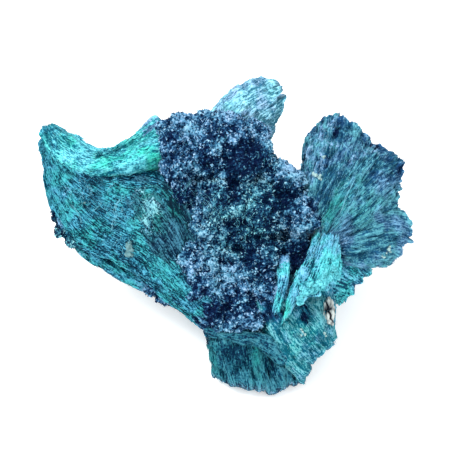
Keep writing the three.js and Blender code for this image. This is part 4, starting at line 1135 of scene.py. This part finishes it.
# The lying threads on each piece, each as the places that it passes through.
THREADS = {
    "wing": [
        [(-32.8, 21), (-30, 19.4), (-27.6, 17.4), (-24.8, 16.4)],
        [(-12.4, 21.6), (-12, 18.8), (-12.6, 16.4)],
        [(-27, 12.8), (-22, 13), (-17, 14.2), (-12.6, 16)],
    ],
    "apron": [
        [(-20.8, 6.8), (-21.4, 5.8), (-21.6, 4.8), (-21.3, 3.8), (-21.8, 2.8), (-21.6, 1.8)],
        [(-26, 4.8), (-25.2, 5.6), (-24.4, 6.4), (-25, 7)],
        [(-23.2, 8.8), (-22, 10), (-20.4, 10.6)],
        [(-30.6, 6), (-29, 4.4), (-28.4, 2.4)],
        [(-27.4, 9.8), (-26.4, 9), (-26.6, 7.6)],
    ],
    "blade": [[(-20, 9.4), (-19.2, 10.2), (-18, 10.6), (-17.2, 10.4), (-16.2, 9.6), (-15.2, 8.4)]],
    "velvet_crust": [[(-7.6, 9.2), (-6.6, 11.1)], [(-10.6, 5.4), (-9.4, 5)]],
    "right_fan": [
        [(21, 17.4), (22.2, 18), (23.4, 18.2), (24.6, 17.1), (25.8, 17), (27, 17.6), (28.4, 17.4),
         (29.2, 16.4)],
        [(26.6, 8.8), (25, 6), (23.4, 3.2), (21.8, 1.4)],
        [(25.4, 10.8), (23.8, 7.6), (22.6, 4.4), (21, 2)],
        [(19, 3.8), (20.2, 2.6), (21.2, 1.6)],
    ],
    "light_fan": [
        [(19.4, 0.4), (18.2, -2), (17, -4.4), (16, -6.4)],
        [(21.6, 1), (22, -0.6), (21.8, -3), (21.6, -5)],
    ],
    "foot_right": [[(14.6, -18.6), (15.4, -19.4), (15, -20), (15.8, -19.8)], [(13.6, -19.4), (14.6, -20.2)]],
}
HAIR_WIDTH, HAIR_BOW = 0.045, 1.6
THREAD_WIDTH, THREAD_LIFT, THREAD_SPREAD = 0.06, 0.15, 0.12
FIBRES_IN_THREAD = 3


def hair(foot, turn, length, rng):
    """Points along a loose fibre that springs from its foot and bows over."""
    share = np.linspace(0, 1, 8)[:, None]
    way = [math.cos(math.radians(turn)), math.sin(math.radians(turn)), 0]
    bow = rng.uniform(-HAIR_BOW, HAIR_BOW)
    line = np.array(way) * share + np.array([-way[1], way[0], 0]) * bow * share * (1 - share)
    line[:, 2:] += 0.25 * share * (1.3 - share)
    return foot + length * (line[:, :1] * [1.0, 0, 0] + line[:, 1:2] * FACE_UP + line[:, 2:] * FACE_OUT)


def lying_fibres(skin, places, rng):
    """The wavering fibres of a thread, side by side on the skin near the places."""
    found = []
    for _ in range(FIBRES_IN_THREAD):
        share = np.linspace(0, 1, 12 * len(places))
        way = spline(np.array(places, float), share) + rng.normal(0, THREAD_SPREAD, 2)
        sway = [wander(12 * share, 0 * share, rng), wander(12 * share, 0 * share, rng)]
        way += THREAD_SPREAD * np.stack(sway, axis=1)
        spots = [landing(skin, *spot) for spot in way]
        line = np.array([spot for spot in spots if spot is not None])
        if len(line) > 4:
            line[1:-1] = (line[:-2] + line[1:-1] + line[2:]) / 3
            found.append(line + THREAD_LIFT * FACE_OUT)
    return found


def tubes(lines, width):
    """Points and faces of a thin three-sided tube along each line."""
    corner = np.radians([90, 210, 330])[:, None]
    ring = np.cos(corner) * [1.0, 0, 0] + np.sin(corner) * FACE_OUT
    points, faces, first = [], [], 0
    for line in lines:
        wide = width * np.linspace(1, 0.4, len(line))[:, None, None]
        points.append((line[:, None] + wide * ring).reshape(-1, 3))
        last = first + 3 * len(line) - 3
        for k in range(first, last, 3):
            faces += [[k + a, k + (a + 1) % 3, k + 3 + (a + 1) % 3, k + 3 + a] for a in range(3)]
        faces += [[first + 2, first + 1, first], [last, last + 1, last + 2]]
        first = last + 3
    return np.concatenate(points), faces


pale_fibre = rock("pale_fibre", dark=(0.03, 0.26, 0.34), pale=(0.24, 0.62, 0.76))
loose, lying = [], []
for piece, tangles in TANGLES.items():
    skin = skin_of(piece)
    feet = [middle + rng.normal(0, 0.6 * spread, 2)
            for *middle, spread, count in tangles for _ in range(count)]
    for right, up in feet:
        foot = landing(skin, right, up)
        if foot is not None:
            loose.append(hair(foot, rng.uniform(0, 360), rng.uniform(0.6, 1.8), rng))
    for places in THREADS.get(piece, []):
        lying += lying_fibres(skin, places, rng)
for name, lines, width, pale in (
    ("loose_hairs", loose, HAIR_WIDTH, 0.0),
    ("lying_hairs", lying, THREAD_WIDTH, 0.4),
):
    points, faces = tubes(lines, width)
    tones = np.concatenate([np.full(3 * len(line), rng.uniform(pale, 1)) for line in lines])
    plain_piece(name, points, faces, tones, pale_fibre)
    hairs = bmesh.new()
    hairs.from_mesh(bpy.data.meshes[name])
    bmesh.ops.recalc_face_normals(hairs, faces=hairs.faces)
    hairs.to_mesh(bpy.data.meshes[name])
    hairs.free()

# ---- Floor, light and camera ----
# The specimen stands on a wide white floor in an even white studio. A large soft lamp at the
# upper left makes the shadows, a weak one at the right fills them, and the camera looks straight
# at the show face.
FLOOR_SIZE = 3000
FLOOR_WHITE = (0.92, 0.92, 0.92, 1)
FLOOR_GLOW = 0.3
STUDIO_WHITE = (1, 1, 1, 1)
STUDIO_STRENGTH = 1.25
FRAME_WIDTH = 90.0
VIEW_DISTANCE = 450.0
VIEW_RISE = 2.0

bpy.ops.mesh.primitive_plane_add(size=FLOOR_SIZE * MM)
floor = bpy.context.active_object
floor.name = "floor"
floor_paint = bpy.data.materials.new("floor_paint")
floor_paint.use_nodes = True
feed(floor_paint.node_tree.nodes["Principled BSDF"], {
    "Base Color": FLOOR_WHITE,
    "Roughness": 0.9,
    "Emission Color": STUDIO_WHITE,
    "Emission Strength": FLOOR_GLOW,
})
floor.data.materials.append(floor_paint)

world = bpy.data.worlds.new("studio")
bpy.context.scene.world = world
world.use_nodes = True
feed(world.node_tree.nodes["Background"], {"Color": STUDIO_WHITE, "Strength": STUDIO_STRENGTH})


def softbox(name, direction, distance, size, power):
    """A square lamp that looks at the middle of the show face from a distance in metres."""
    lamp = bpy.data.lights.new(name, "AREA")
    lamp.size = size
    lamp.energy = power
    box = bpy.data.objects.new(name, lamp)
    bpy.context.scene.collection.objects.link(box)
    way = Vector(direction).normalized()
    box.location = Vector((0, 0, FACE_HEIGHT * MM)) + way * distance
    box.rotation_euler = way.to_track_quat("Z", "Y").to_euler()


softbox("key", direction=(-0.45, -0.03, 0.89), distance=0.5, size=0.25, power=2.2)
softbox("fill", direction=(0.5, -0.7, 0.6), distance=0.6, size=0.4, power=0.6)

camera = bpy.data.objects.new("camera", bpy.data.cameras.new("camera"))
bpy.context.scene.collection.objects.link(camera)
centre = np.array([0, 0, FACE_HEIGHT]) + FACE_UP * VIEW_RISE
camera.location = Vector((centre + FACE_OUT * VIEW_DISTANCE) * MM)
camera.rotation_euler = Vector(FACE_OUT).to_track_quat("Z", "Y").to_euler()
camera.data.lens = camera.data.sensor_width * VIEW_DISTANCE / FRAME_WIDTH
camera.data.clip_start = 0.01
bpy.context.scene.camera = camera
bpy.context.scene.view_settings.view_transform = "Standard"
